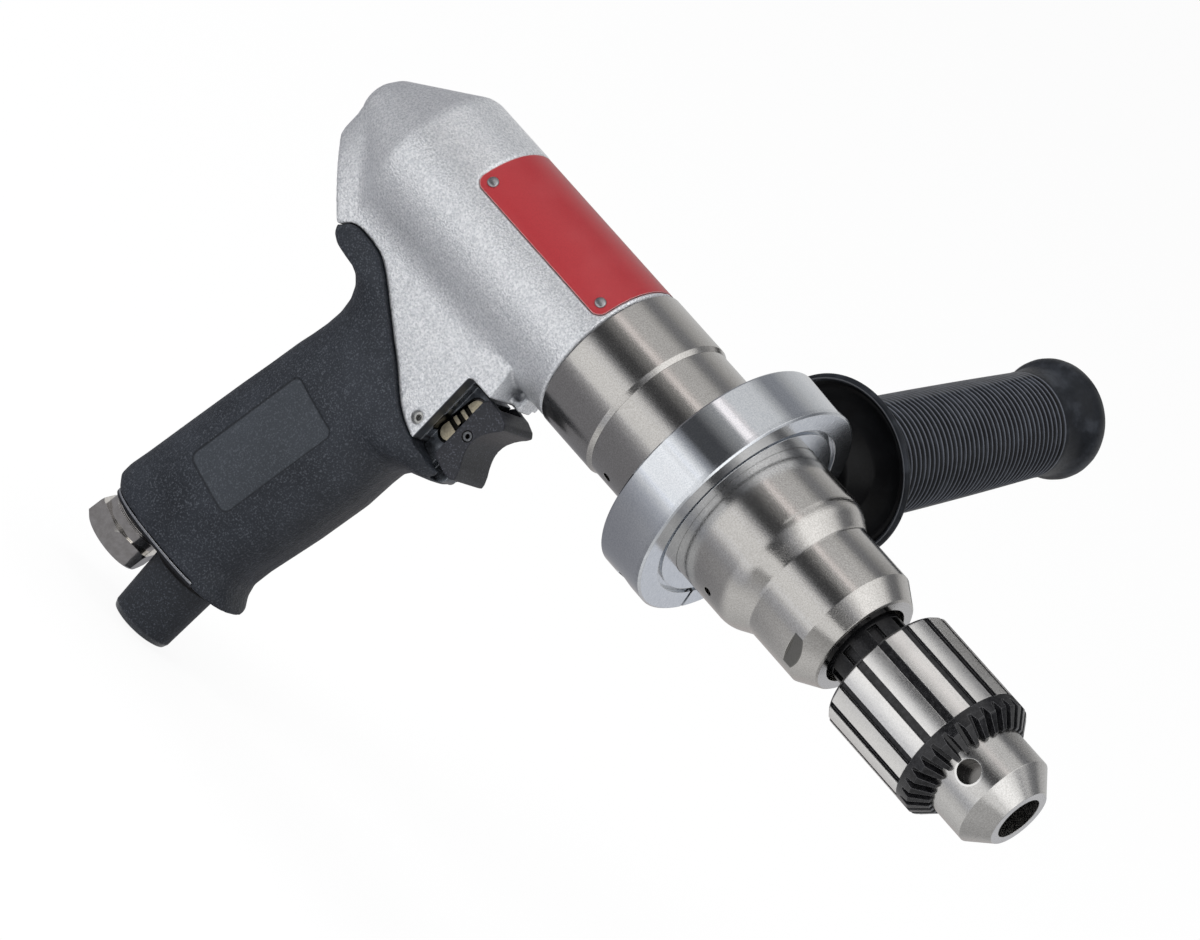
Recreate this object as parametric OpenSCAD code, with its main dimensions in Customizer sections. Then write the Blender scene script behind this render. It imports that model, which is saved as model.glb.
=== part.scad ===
// Pistol-grip air drill with a keyed chuck and a side handle.
// X runs forward along the spindle, Z up, Y to the left. The origin is the mouth of the chuck.

/* [Chuck] */
// Radius of the toothed sleeve
chuck_sleeve_r = 19; // [18.5:0.1:20]
// Length of the sleeve, bevel teeth included
chuck_sleeve_l = 35.4; // [35:0.1:38]
// Radius of the chuck nose
chuck_nose_r = 14; // [13.8:0.1:14.5]
// Length of the nose in front of the sleeve
chuck_nose_l = 16.6; // [16.5:0.1:19]
// Radius of the front face of the nose
chuck_face_r = 8.8; // [8:0.1:10]
// Length of the cone at the front of the nose
chuck_cone_l = 6; // [4:0.25:8]
// Radius of the opening that the drill bit enters
chuck_bore_r = 6.5; // [6:0.1:6.8]
// Radius of the pilot holes for the chuck key
key_hole_r = 3.2; // [2.5:0.1:3.4]
// Number of grip flutes round the sleeve
sleeve_flutes = 16; // [10:1:20]
// Number of bevel teeth for the chuck key
sleeve_teeth = 30; // [20:1:36]
// Radius of one jaw
jaw_r = 3.4; // [3:0.1:3.5]
// Length of one jaw
jaw_l = 26; // [24:0.5:26.5]
// Angle between a jaw and the spindle
jaw_tilt = 15; // [14:0.5:15.5]
// How far the jaws have drawn back along their bores
jaw_back = 19; // [16:0.5:19.3]

/* [Front housings] */
// Radius of the nose housing behind its shoulder
nose_r = 22.4; // [21.8:0.1:23]
// Radius of the nose housing in front of its shoulder
neck_r = 19; // [18.4:0.1:20]
// Radius of the front face of the nose housing
nose_face_r = 15.6; // [14.8:0.1:17]
// Visible length of the nose housing in front of the side handle ring
nose_l = 47.7; // [46:0.5:52]
// Length of the chamfer at its front
nose_chamfer_l = 6.2; // [5:0.1:6.5]
// Radius of the front gear case
front_case_r = 21.8; // [21.2:0.1:22.4]
// Length of the front gear case
front_case_l = 21.7; // [21:0.1:24]
// Radius of the rear gear case
rear_case_r = 22.5; // [21.8:0.1:23]
// Visible length of the rear gear case
rear_case_l = 19.7; // [19:0.1:24]

/* [Gears] */
// Size of a gear tooth, pitch diameter over number of teeth
gear_module = 0.8; // [0.78:0.01:0.82]
// Face width of the planet gears
planet_w = 9; // [7:0.5:9.5]
// Radius of the pins that carry the planet gears
planet_pin_r = 2; // [1.6:0.1:2.6]

/* [Motor] */
// Outer radius of the motor cylinder
cylinder_r = 18.5; // [18.2:0.1:18.6]
// Length of the motor cylinder
cylinder_l = 42; // [34:1:44]
// Radius of the rotor
rotor_r = 14; // [13:0.1:14.2]
// Offset of the cylinder bore from the rotor axis
rotor_offset = 1.5; // [1:0.1:1.8]
// Number of vanes
vane_count = 5; // [4:1:6]
// Radius of the spindle inside its bearings
shaft_r = 8.45; // [7.5:0.05:9]

/* [Cast housing] */
// Radius of the barrel
barrel_r = 22.3; // [22:0.1:23.5]
// Length of the cast barrel from its front edge to its rear face
barrel_l = 100; // [98:0.5:108]
// Half the width of the flank between barrel and grip
flank_w = 14; // [13:0.25:14.5]
// Width of the label plate measured as an angle round the barrel
plate_angle = 134; // [90:2:140]
// Length of the label plate
plate_l = 51; // [36:0.5:51.5]
// Corner radius of the label plate
plate_corner_r = 3; // [1.5:0.5:6]

/* [Grip] */
// Half the width of the rubber grip
grip_w = 16.2; // [15.4:0.1:18]
// Lean of the grip from the vertical
grip_tilt = 9; // [7:0.5:11]
// Height of the underside of the grip, below the spindle
grip_z = 119; // [116:0.5:124]
// Radius of the muffler where it meets the base
muffler_r = 9.85; // [9:0.05:10.5]
// Length of the muffler
muffler_l = 20.5; // [14:0.5:28]
// Width across the flats of the air inlet
inlet_af = 19; // [17:0.5:20]
// Radius of the inlet thread
inlet_thread_r = 5.7; // [5.3:0.05:6.2]

/* [Trigger] */
// Half the width of the trigger
trigger_w = 8.6; // [8.2:0.1:9.2]
// Travel of the trigger
trigger_travel = 3.5; // [2.5:0.1:3.6]
// Half the width of the throttle block between the trigger's cheeks
block_w = 6; // [5.6:0.1:6.2]
// Travel of the reversing bar
reverse_travel = 2; // [1.5:0.1:2]

/* [Side handle] */
// Outer radius of the clamp ring
ring_r = 34.3; // [33:0.1:37]
// Width of the clamp ring
ring_w = 15.8; // [14:0.1:17.5]
// Angle of the handle above the horizontal, round the barrel
handle_angle = 21.5; // [0:0.5:60]
// Distance from the spindle to the flange's rim
flange_at = 43.2; // [42:0.1:48]
// Radius of the hand flange
flange_r = 24.1; // [20:0.1:26]
// Radius of the handle next to the flange
handle_r = 15.9; // [14:0.1:17]
// Radius of the handle before its end bulb
handle_end_r = 14.3; // [13:0.1:15.5]
// Radius of the end bulb
bulb_r = 16.3; // [15.6:0.1:18]
// Length of the handle from the flange's rim to its end
handle_l = 102.8; // [90:0.2:125]
// Number of grip ribs along the handle
handle_ribs = 39; // [20:1:45]

/* [Hidden] */

// Smoothness of turned faces
FN = 96;
// Gap between parts that are pressed or screwed together
seat_gap = 0.02;
// Radial gap of a part that turns or slides in another
run_gap = 0.05;
// Gap round parts that only pass each other
clear_gap = 0.3;
// Overshoot of a cut past the face that it opens
past = 1;

// Stations along the spindle, from the mouth of the chuck backwards
sleeve_front = -chuck_nose_l;
sleeve_rear = sleeve_front - chuck_sleeve_l;
collar_l = 8.4;
nose_front = sleeve_rear - collar_l;
ring_front = nose_front - nose_l;
ring_rear = ring_front - ring_w;
ring_mid = ring_front - ring_w / 2;
nose_rear = ring_rear + 2;
front_case_rear = nose_rear - front_case_l;
rear_case_rear = front_case_rear - rear_case_l;
housing_front = rear_case_rear;
housing_rear = housing_front - barrel_l;

// Chuck inside
jaw_start_r = 0.9;
// Front ends of the jaws behind the mouth of the chuck
jaw_front = -0.6;
nut_front = sleeve_front - 6;
nut_l = 6.5;
nut_rear = nut_front - nut_l;
nut_r = chuck_sleeve_r - 3;
groove_r = 10.2;
rear_land_r = chuck_sleeve_r - 2.4;
rear_land_l = 4.2;
body_waist_r = chuck_nose_r - 1;
chuck_thread_r = 4.4;
chuck_thread_l = 13;
jaw_angles = [-126, -6, 114];
key_x = -13;
key_depth = 6;
bevel_depth = 3.7;
bevel_in_r = chuck_nose_r + 0.4;
flute_stop = 4;

// Gears
ring_n = 39;
planet_n = 15;
sun_n = 9;
orbit_r = gear_module * (sun_n + planet_n) / 2;
planet_front = front_case_rear - 7.2;
planet_rear = planet_front - planet_w;
ring_out_r = 18.35;
carrier_front = planet_front + 6;
carrier_r = 14.5;

// Motor
neck_out_r = 18.9;
neck_l = 16.5;
bore_r = neck_out_r + 0.1;
plate_w = 7;
front_plate_front = housing_front - neck_l - 0.1;
cylinder_front = front_plate_front - plate_w;
cylinder_rear = cylinder_front - cylinder_l;
rear_plate_rear = cylinder_rear - plate_w;
rotor_shaft_r = 4;
// Neck of the spindle inside the collar
spindle_neck_r = 7.2;
rotor_bearing_r = 9.5;
rotor_bearing_w = 5;
stub_r = 1.8;

plate_mid = housing_front - 27.4;
rivet_shank_r = 0.9;
rivet_head_r = 1.4;
rivet_inset = 3.2;
rivet_turn = 8.5;
// The rivets end in the wall of the barrel, clear of its bore
rivet_foot_r = bore_r + 0.7;

// Trigger and throttle
pin_r = 1.3;
screw_r = 1.7;
screw_z = -44.9;
stem_r = 1.6;
valve_z = -39.5;
pocket_x = housing_front - 19.3;
pocket_top = -27.4;
block_front = pocket_x + 5.4;
block_top = pocket_top - 2;
block_foot = -54.4;
block_floor = -47.4;
pin_x = block_front + 3;
trigger_back = pocket_x + 5;
// The window is a slot with round ends that leans with the grip, cut straight in front
window_r = 2.8;
window_h = 15.1;
window_front = block_front - 0.15;
window_x = block_front - 2.1;
window_z = valve_z + 1.2;
// Gap round the bar that slides in the window
bar_gap = 0.45;
chamber_r = 6;
block_base_x = pocket_x - 7;
seat_l = 6;
chamber_l = 24;
plug_l = 3.9;
valve_head_r = 4.2;
spring_coils = 6;
spring_wire_r = 0.6;
spring_r = 3.4;

// Air inlet, exhaust and base
base_tilt = 1;
base_x = housing_front - 51.4;
muffler_x = housing_front - 45.2;
inlet_x = housing_front - 65.2;
inlet_tilt = 10;
inlet_neck_r = 8.6;
// Depth of the inlet screen above the rubber's underside
screen_at = 8;
plate_t = 1.3;
toe_x = 15;

function deg_arc(cx, cy, r, a0, a1, n) =
    [for (i = [0 : n]) [cx + r * cos(a0 + (a1 - a0) * i / n), cy + r * sin(a0 + (a1 - a0) * i / n)]];

// A solid of revolution about the spindle, from points of radius and X
module turned(points) {
    rotate([0, 90, 0]) rotate_extrude($fn = FN) polygon(points);
}

// A ring or tube about the spindle between two X stations
module tube_x(x0, x1, r_out, r_in) {
    translate([x0, 0, 0]) rotate([0, 90, 0]) difference() {
        cylinder(h = x1 - x0, r = r_out, $fn = FN);
        translate([0, 0, -past]) cylinder(h = x1 - x0 + 2 * past, r = r_in, $fn = FN);
    }
}

// A plain cylinder about a line parallel to the spindle
module rod_x(x0, x1, r, y = 0, z = 0) {
    translate([x0, y, z]) rotate([0, 90, 0]) cylinder(h = x1 - x0, r = r, $fn = FN);
}

// Lifts an outline drawn in X and Z to a slab of half width w about the middle plane
module slab(w) {
    rotate([90, 0, 0]) linear_extrude(height = 2 * w, center = true) children();
}

// Places something drawn about +Z so that it points outward at an angle above +Y
module outward(x, angle) {
    translate([x, 0, 0]) rotate([angle - 90, 0, 0]) children();
}

// Outline of one gear: straight flanked teeth, a tooth centred at angle zero
function gear_points(n, tip, root, tip_share, root_share) =
    [for (i = [0 : n - 1]) for (k = [[root, -root_share], [tip, -tip_share],
        [tip, tip_share], [root, root_share]])
        [k[0] * cos((i + k[1]) * 360 / n), k[0] * sin((i + k[1]) * 360 / n)]];

// Outlines in X and Z are written for a barrel whose front edge lies here
outline_front = -163.5;
// Line on the side where the rubber meets the cast flank, from the front to the tail
grip_edge = [
    [-175.9, -48.8], [-180.1, -49.5], [-182.6, -49.7], [-184.6, -49.3], [-188, -48.1],
    [-191.6, -46.3], [-194.8, -44], [-197.9, -41.6], [-201, -39.3], [-205.8, -36.2],
    [-211.5, -32.3], [-217.5, -28.2], [-220.3, -26.4], [-223.2, -24.8], [-225.7, -24],
    [-229, -23.6], [-233.1, -23.5], [-235.7, -23.9], [-237.5, -25], [-238.7, -26.4],
    [-240, -27.4]
];
flank_rear = [
    [-242, -25.7], [-244.6, -23.6], [-248.9, -20.2], [-253.5, -16.7], [-257, -14.3],
    [-260.5, -12.6], [-261.9, -11], [-262.5, -8], [-262.6, 2], [-261.6, 4.2], [-258, 5.2],
    [-254, 5.8], [-250, 6.4], [-244, 8.6]
];
flank_front = [[-180, 8.6], [-177.6, -13], [-176.8, -15.8], [-175.4, -20.7], [-174.8, -27.4]];
// Height, front, rear, half width and squareness of the rubber grip, level by level
grip_levels = [
    [-122.5, -191.4, -236.6, 15.2, 2.6], [-118.2, -191.8, -237.9, 15.6, 2.6],
    [-115.5, -193.8, -240.1, 15.9, 2.6], [-112, -194.8, -239.9, 16, 2.6],
    [-106, -193.9, -238.5, 16.2, 2.6], [-90, -189.9, -235.4, 16.2, 2.6],
    [-75, -186.9, -232.4, 16.2, 2.6], [-66, -186.2, -230.4, 16.2, 2.6],
    [-62, -185.6, -229.6, 16.2, 2.6], [-59.3, -183.6, -229.1, 16.2, 2.6],
    [-57.4, -179.2, -228.7, 16.2, 2.7], [-55.6, -175.2, -228.2, 16.2, 2.8],
    [-53, -173.4, -227.4, 16.2, 2.9], [-48, -173, -226.3, 16.2, 2.9],
    [-43, -173, -225.6, 16.2, 3], [-38.5, -173, -225.8, 16.2, 3.3],
    [-35, -173, -227, 16.2, 3.8], [-32.6, -173, -229, 16.2, 4.5],
    [-31.4, -173, -232, 16.2, 5], [-30.8, -173, -238, 16.2, 6],
    [-29.6, -173, -240.4, 16.2, 6], [-27.5, -173, -241.6, 16.2, 6],
    [-22, -173, -240.8, 16.2, 6]
];
grip_sides = 36;
drawn_grip_w = 16.2;
drawn_grip_z = 119;

module outline(points) {
    translate([housing_front - outline_front, 0]) polygon(points);
}

// Point of a rounded oval section
function oval(a, depth, width, power) =
    [depth * sign(cos(a)) * pow(abs(cos(a)), 2 / power),
     width * sign(sin(a)) * pow(abs(sin(a)), 2 / power)];

// Closed skin through the grip's levels
module grip_body() {
    n = grip_sides;
    last = len(grip_levels) - 1;
    pts = [for (g = grip_levels) for (i = [0 : n - 1])
        let (o = oval(360 * (i + 0.5) / n, (g[1] - g[2]) / 2, g[3] * grip_w / drawn_grip_w, g[4]))
        [(g[1] + g[2]) / 2 + o[0], o[1], g[0] * (g[0] < -60 ? grip_z / drawn_grip_z : 1)]];
    sides = [for (k = [0 : last - 1]) for (i = [0 : n - 1]) let (j = (i + 1) % n)
        each [[k * n + i, (k + 1) * n + i, k * n + j],
              [k * n + j, (k + 1) * n + i, (k + 1) * n + j]]];
    translate([housing_front - outline_front, 0, 0])
        polyhedron(points = pts, faces = concat([[for (i = [0 : n - 1]) i]], sides,
            [[for (i = [n - 1 : -1 : 0]) last * n + i]]));
}

// A leaning column with an oval section
module grip_column(cx, half_depth, half_width, z0, z1) {
    steps = 40;
    translate([housing_front - outline_front + cx, 0, -80]) rotate([0, grip_tilt, 0])
        translate([0, 0, z0]) linear_extrude(height = z1 - z0)
            polygon([for (i = [0 : steps - 1]) oval(360 * i / steps, half_depth, half_width, 2.6)]);
}

module barrel_solid() {
    nose_round = 1.2;
    cone_front = housing_front - 0.735 * barrel_l;
    face_r = 8.4;
    turned([[0, housing_front], [barrel_r - nose_round, housing_front],
        [barrel_r, housing_front - nose_round], [barrel_r, cone_front],
        [barrel_r - 0.5, cone_front - 1.8], [face_r, housing_rear + 3.9],
        [5.2, housing_rear + 1.3], [2.4, housing_rear + 0.2], [0, housing_rear]]);
}

module flank_solid() {
    round_l = 23.2;
    round_x = housing_rear + 0.9 + round_l;
    intersection() {
        slab(flank_w) outline(concat(flank_front, [[-182.8, -27.4], [-182.8, -49.5]],
            [for (i = [3 : len(grip_edge) - 1]) grip_edge[i] + [0, 0.2]], flank_rear));
        translate([0, 0, -60]) linear_extrude(height = 70) polygon(concat(
            [[housing_front, -flank_w], [housing_front, flank_w]],
            [for (i = [0 : 10]) [round_x - round_l * sin(9 * i), flank_w * cos(9 * i)]],
            [for (i = [9 : -1 : 0]) [round_x - round_l * sin(9 * i), -flank_w * cos(9 * i)]]));
    }
}

// The cast stalk inside the rubber, grown by the fitting gap where the rubber is cut
module grip_core(grow) {
    intersection() {
        grip_column(-210.9, 19.6 + grow, grip_w - 3.6 + grow, -60, 56);
        base_frame() translate([-80, -30, 0.2 - grow]) cube([160, 60, 96]);
    }
}

module base_frame() {
    translate([base_x, 0, -grip_z + 0.5]) rotate([0, base_tilt, 0]) children();
}

module inlet_frame() {
    translate([inlet_x, 0, -grip_z + 1]) rotate([0, 180 + inlet_tilt, 0]) children();
}

module pistol_housing() color("silver") {
    passage_r = 4.5;
    lug_w = 3.4;
    lug_l = 5;
    lug_h = 12;
    lug_rear = housing_front - 12.6;
    lug_foot = -26.8;
    dimple_r = 1.5;
    difference() {
        union() {
            barrel_solid();
            flank_solid();
            grip_core(0);
            translate([lug_rear, -lug_w, lug_foot]) cube([lug_l, 2 * lug_w, lug_h]);
        }
        // Motor bore and the wider thread for the gear case
        rod_x(rear_plate_rear - 2, housing_front + past, cylinder_r + seat_gap);
        rod_x(front_plate_front, housing_front + past, bore_r);
        // Room for the trigger in front of the stalk
        translate([pocket_x, -30, -60]) cube([40, 60, 60 + pocket_top]);
        // Seat of the throttle block
        translate([block_base_x - seat_gap, -block_w - 3.1, block_floor - 0.1])
            cube([30, 2 * block_w + 6.2, block_top - block_floor + 0.2]);
        // Valve chamber
        rod_x(block_base_x - chamber_l, block_base_x + past, chamber_r + seat_gap, 0, valve_z);
        // Air passage down the stalk to the inlet, and the exhaust passage to the muffler
        translate([inlet_x, 0, -grip_z + 1]) rotate([0, inlet_tilt, 0])
            translate([0, 0, -4]) cylinder(h = 76, r = passage_r, $fn = FN);
        translate([inlet_x, 0, -grip_z + 1]) rotate([0, inlet_tilt, 0])
            translate([0, 0, -4]) cylinder(h = 20, r = inlet_neck_r - 1.3, $fn = FN);
        inlet_frame() translate([0, 0, -seat_gap]) cylinder(h = 20, r = inlet_neck_r + seat_gap, $fn = FN);
        translate([muffler_x, 0, -grip_z - 4]) cylinder(h = 60, r = passage_r + 0.5, $fn = FN);
        // Recess and rivet holes for the label plate
        rivet_places() translate([0, 0, rivet_foot_r - 0.1])
            cylinder(h = barrel_r - rivet_foot_r + 2, r = rivet_shank_r + 0.02, $fn = 32);
        plate_shape(barrel_r - 0.75, barrel_r + 2, plate_l + 0.6, plate_angle + 1.6, plate_corner_r + 0.3);
        // Set screw hole
        translate([pocket_x - 3.2, 0, screw_z]) rotate([90, 0, 0])
            cylinder(h = flank_w + 5, r = screw_r + 0.02, $fn = 48);
        // Dimple in the lug
        translate([lug_rear + 2, 0, lug_foot + 3.4]) rotate([90, 0, 0])
            cylinder(h = lug_w + past, r = dimple_r, $fn = 48);
    }
}

// A curved plate round the top of the barrel, with round corners
module plate_shape(r_in, r_out, length, angle, corner) {
    difference() {
        translate([plate_mid - length / 2, 0, 0]) rotate([0, 90, 0])
            rotate([0, 0, 180 - angle / 2]) rotate_extrude(angle = angle, $fn = FN)
                translate([r_in, 0]) square([r_out - r_in, length]);
        for (x = [-1, 1]) for (side = [-1, 1])
            outward(plate_mid + x * length / 2, 90 + side * angle / 2)
                translate([0, 0, r_in - corner / 2]) linear_extrude(height = r_out - r_in + corner)
                    corner_waste(x, side, corner);
    }
}

// What lies outside the quarter circle of one corner, which is a hair wide of tangent
module corner_waste(x, side, corner) {
    difference() {
        translate([x > 0 ? -corner : -past, side > 0 ? -past : -corner]) square(corner + past);
        translate([-x * corner, side * corner]) circle(r = corner + 0.03, $fn = FN);
    }
}

module rivet_places() {
    for (x = [-1, 1]) for (side = [-1, 1])
        outward(plate_mid + x * (plate_l / 2 - rivet_inset), 90 + side * (plate_angle / 2 - rivet_turn))
            children();
}

module label_plate() color("crimson") {
    difference() {
        plate_shape(barrel_r - 0.72, barrel_r - 0.1, plate_l, plate_angle, plate_corner_r);
        rivet_places() cylinder(h = 40, r = rivet_shank_r + 0.1, $fn = 32);
    }
}

module label_rivets() color("gray") {
    rivet_places() difference() {
        union() {
            translate([0, 0, barrel_r - 0.09]) cylinder(h = 0.55, r = rivet_head_r, $fn = 32);
            translate([0, 0, rivet_foot_r])
                cylinder(h = barrel_r - rivet_foot_r, r = rivet_shank_r, $fn = 32);
        }
        translate([0, 0, barrel_r + 0.1]) cylinder(h = 1, r = 0.55, $fn = 24);
    }
}

module grip_sleeve() color("dimgray") {
    difference() {
        intersection() {
            grip_body();
            slab(grip_w + 5) outline(concat([[-165, -51.9], [-176.4, -51.6],
                [-178.8, -50.7], [-181.6, -50.3]],
                [for (i = [2 : len(grip_edge) - 1]) grip_edge[i]],
                [[-241.8, -28.6], [-243, -29.4], [-250, -130], [-165, -130]]));
        }
        grip_core(0.1);
        inlet_frame() translate([0, 0, -0.1]) cylinder(h = 20, r = inlet_neck_r + 0.1, $fn = FN);
        inlet_frame() translate([0, 0, -10.2]) cylinder(h = 20, r = inlet_neck_r - 1.25, $fn = FN);
        base_frame() translate([-80, -30, -20]) cube([80 + toe_x, 60, 20]);
        base_frame() translate([toe_x - past, -30, -20 - plate_t + 0.1]) cube([60, 60, 20]);
        // Room for the throttle block
        translate([pocket_x - 0.5, -block_w - 0.15, block_foot - 0.2])
            cube([20, 2 * block_w + 0.3, 30]);
    }
}

module base_plate() color("silver") {
    difference() {
        base_frame() translate([0, 0, -plate_t]) linear_extrude(height = plate_t - 0.05)
            intersection() {
                polygon([for (i = [0 : 59]) oval(6 * i, 22.7, grip_w - 0.7, 2.6)]);
                translate([-40, -30]) square([40 + toe_x - 0.1, 60]);
            }
        inlet_frame() translate([0, 0, -20]) cylinder(h = 40, r = inlet_neck_r + seat_gap, $fn = FN);
        translate([muffler_x, 0, -grip_z - 10]) cylinder(h = 40, r = muffler_r - 2.4, $fn = FN);
    }
}

module block_set_screw() color("gray") {
    sink = 1.5;
    socket_l = 1.8;
    screw_l = flank_w - block_w - 3.2 - sink;
    translate([pocket_x - 3.2, -block_w - 3.2, screw_z]) rotate([90, 0, 0]) difference() {
        cylinder(h = screw_l, r = screw_r, $fn = 48);
        translate([0, 0, screw_l - socket_l]) cylinder(h = socket_l + past, r = 0.9, $fn = 6);
    }
}

module motor_cylinder() color("lightgray") {
    difference() {
        rod_x(cylinder_rear, cylinder_front, cylinder_r);
        rod_x(cylinder_rear - past, cylinder_front + past,
            rotor_r + rotor_offset + 0.12, 0, -rotor_offset);
        // Slanting inlet and exhaust ports
        for (i = [0 : 3])
            translate([cylinder_rear + cylinder_l * (i + 1) / 5, 0, 0])
                rotate([180, 0, 0]) cylinder(h = 30, r = 1.8, $fn = 32);
    }
}

module end_plate(x0, x1, pocket_front) {
    difference() {
        rod_x(x0, x1, cylinder_r);
        rod_x(x0 - past, x1 + past, rotor_shaft_r + 0.6);
        rod_x(pocket_front ? x1 - rotor_bearing_w : x0 - past,
            pocket_front ? x1 + past : x0 + rotor_bearing_w, rotor_bearing_r + seat_gap);
        // Kidney ports
        for (a = [-1, 1]) rod_x(x0 - past, x1 + past, 1.5, a * 12.5, -4);
    }
}

module rear_end_plate() color("gainsboro") end_plate(rear_plate_rear, cylinder_rear - seat_gap, false);
module front_end_plate() color("gainsboro")
    end_plate(cylinder_front + seat_gap, front_plate_front, true);

// A shielded ball bearing: races with a sunk shield between them on each side
module bearing(x0, x1, r_out, r_in) {
    race = (r_out - r_in) * 0.28;
    sink = 0.5;
    turned([[r_in, x0], [r_in + race, x0], [r_in + race, x0 + sink], [r_out - race, x0 + sink],
        [r_out - race, x0], [r_out, x0], [r_out, x1], [r_out - race, x1],
        [r_out - race, x1 - sink], [r_in + race, x1 - sink], [r_in + race, x1], [r_in, x1]]);
}

module rear_rotor_bearing() color("lightsteelblue")
    bearing(rear_plate_rear, rear_plate_rear + rotor_bearing_w - seat_gap, rotor_bearing_r,
        rotor_shaft_r + run_gap);
module front_rotor_bearing() color("lightsteelblue")
    bearing(front_plate_front - rotor_bearing_w + seat_gap, front_plate_front, rotor_bearing_r,
        rotor_shaft_r + run_gap);

module rear_gear_case() color("darkgray") {
    web_r = 14;
    step_l = 1.4;
    turned([
        [web_r, housing_front - neck_l], [neck_out_r, housing_front - neck_l],
        [neck_out_r, housing_front + 0.05], [rear_case_r, housing_front + 0.05],
        [rear_case_r, front_case_rear - step_l], [rear_case_r - 0.75, front_case_rear],
        [ring_out_r, front_case_rear], [ring_out_r, planet_rear - 1.6],
        [web_r, planet_rear - 1.6]]);
}

module ring_gear() color("slategray") {
    translate([planet_rear - 1, 0, 0]) rotate([90, 0, 90]) linear_extrude(height = planet_w + 2)
        difference() {
            circle(r = ring_out_r - seat_gap, $fn = FN);
            polygon(gear_points(ring_n, gear_module * (ring_n / 2 + 1.15),
                gear_module * (ring_n / 2 - 0.8), 0.13, 0.32));
        }
}

module front_gear_case() color("darkgray") {
    spigot_l = 6;
    nose_spigot_l = 8;
    difference() {
        turned([
            [carrier_r + 1, front_case_rear - spigot_l],
            [ring_out_r - seat_gap, front_case_rear - spigot_l],
            [ring_out_r - seat_gap, front_case_rear], [front_case_r, front_case_rear],
            [front_case_r, nose_rear - 0.05], [neck_r - 0.5, nose_rear - 0.05],
            [neck_r - 0.5, nose_rear + nose_spigot_l], [14, nose_rear + nose_spigot_l],
            [14, front_case_rear + 10.2], [16, front_case_rear + 10.2],
            [16, front_case_rear + 1.6], [carrier_r + 1, front_case_rear + 1.6]]);
        spanner_hole(front_case_rear + 6.2, -121.5, front_case_r);
    }
}

// Blind hole for a pin spanner in a turned face of radius r
module spanner_hole(x, angle, r) {
    outward(x, angle) translate([0, 0, r - 3.4]) cylinder(h = 10, r = 1.3, $fn = 48);
}

module nose_housing() color("darkgray") {
    // The shoulder is a convex round, a straight slope and a tight fillet
    slope = 30;
    round_r = 9.5;
    fillet_r = 2.2;
    shoulder_at = nose_front - 31.1;
    slope_l = (nose_r - neck_r - (round_r + fillet_r) * (1 - cos(slope))) / tan(slope);
    shoulder_end = shoulder_at + (round_r + fillet_r) * sin(slope) + slope_l;
    curve = concat(
        [for (a = [0 : 3 : slope]) [nose_r - round_r * (1 - cos(a)), shoulder_at + round_r * sin(a)]],
        [for (a = [slope : -5 : 0]) [neck_r + fillet_r * (1 - cos(a)), shoulder_end - fillet_r * sin(a)]]);
    // Two flats for a wrench, cut into the neck from the front
    flat_rear = nose_front - 9;
    flat_angle = -141;
    flat_r = neck_r - 0.7;
    difference() {
        turned(concat(
            [[neck_r - 0.5 + seat_gap, nose_rear], [nose_r, nose_rear]], curve,
            [[neck_r, nose_front - nose_chamfer_l], [nose_face_r, nose_front - 0.4],
             [nose_face_r - 0.5, nose_front],
             [12.4, nose_front], [12.4, nose_front - 4.5], [14, nose_front - 4.5],
             [14, nose_front - 9.5], [15.5, nose_front - 9.5], [15.5, nose_front - 21.5],
             [13.5, nose_front - 21.5], [13.5, nose_front - 24], [16.5, nose_front - 32],
             [16.5, nose_rear + 9], [neck_r - 0.5 + seat_gap, nose_rear + 9]]));
        spanner_hole(nose_front - 35.2, -126, nose_r);
        for (a = [0, 180]) outward(flat_rear, flat_angle + a)
            translate([0, -8, flat_r]) cube([6, 16, 5]);
    }
}

module rear_spindle_bearing() color("lightsteelblue")
    bearing(front_case_rear + 1.7, front_case_rear + 9.7, 16 - seat_gap, shaft_r + run_gap);
module front_spindle_bearing() color("lightsteelblue")
    bearing(nose_front - 21.4, nose_front - 11.4, 15.5 - seat_gap, shaft_r + run_gap);
module bearing_spacer() color("gainsboro")
    tube_x(front_case_rear + 9.8, nose_front - 21.5, 12, shaft_r + run_gap);
module spindle_seal() color("black")
    tube_x(nose_front - 9.4, nose_front - 4.6, 14 - seat_gap, shaft_r + run_gap);

module throttle_block() color("dimgray") {
    foot_r = 1.8;
    foot_w = 2.6;
    foot_x = block_front + 2.8;
    difference() {
        union() {
            translate([block_base_x, -block_w - 3, block_floor])
                cube([pocket_x - block_base_x, 2 * block_w + 6, block_top - block_floor]);
            translate([pocket_x - 0.5, -block_w, block_floor])
                cube([block_front - pocket_x + 0.5, 2 * block_w, block_top - block_floor]);
            translate([pocket_x + 0.1, -block_w, block_foot])
                cube([block_front - pocket_x - 0.1, 2 * block_w, block_floor - block_foot + 0.5]);
            translate([foot_x, 0, block_foot + foot_r]) rotate([90, 0, 0])
                cylinder(h = 2 * foot_w, r = foot_r, center = true, $fn = 48);
            translate([block_front - 1, -foot_w, block_foot])
                cube([foot_x - block_front + 1, 2 * foot_w, 2 * foot_r]);
        }
        // Bore of the valve stem
        rod_x(block_base_x - past, block_front + 10, stem_r + run_gap, 0, valve_z);
        pin_notch();
        window_shape(0, 40);
    }
}

// Room that the trigger pin moves in
module pin_notch() {
    translate([pin_x - trigger_travel - pin_r - clear_gap, -20, valve_z - pin_r - clear_gap])
        cube([20, 40, 2 * (pin_r + clear_gap)]);
}

module window_frame() {
    translate([window_x, 0, window_z]) rotate([0, grip_tilt, 0]) children();
}

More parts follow.
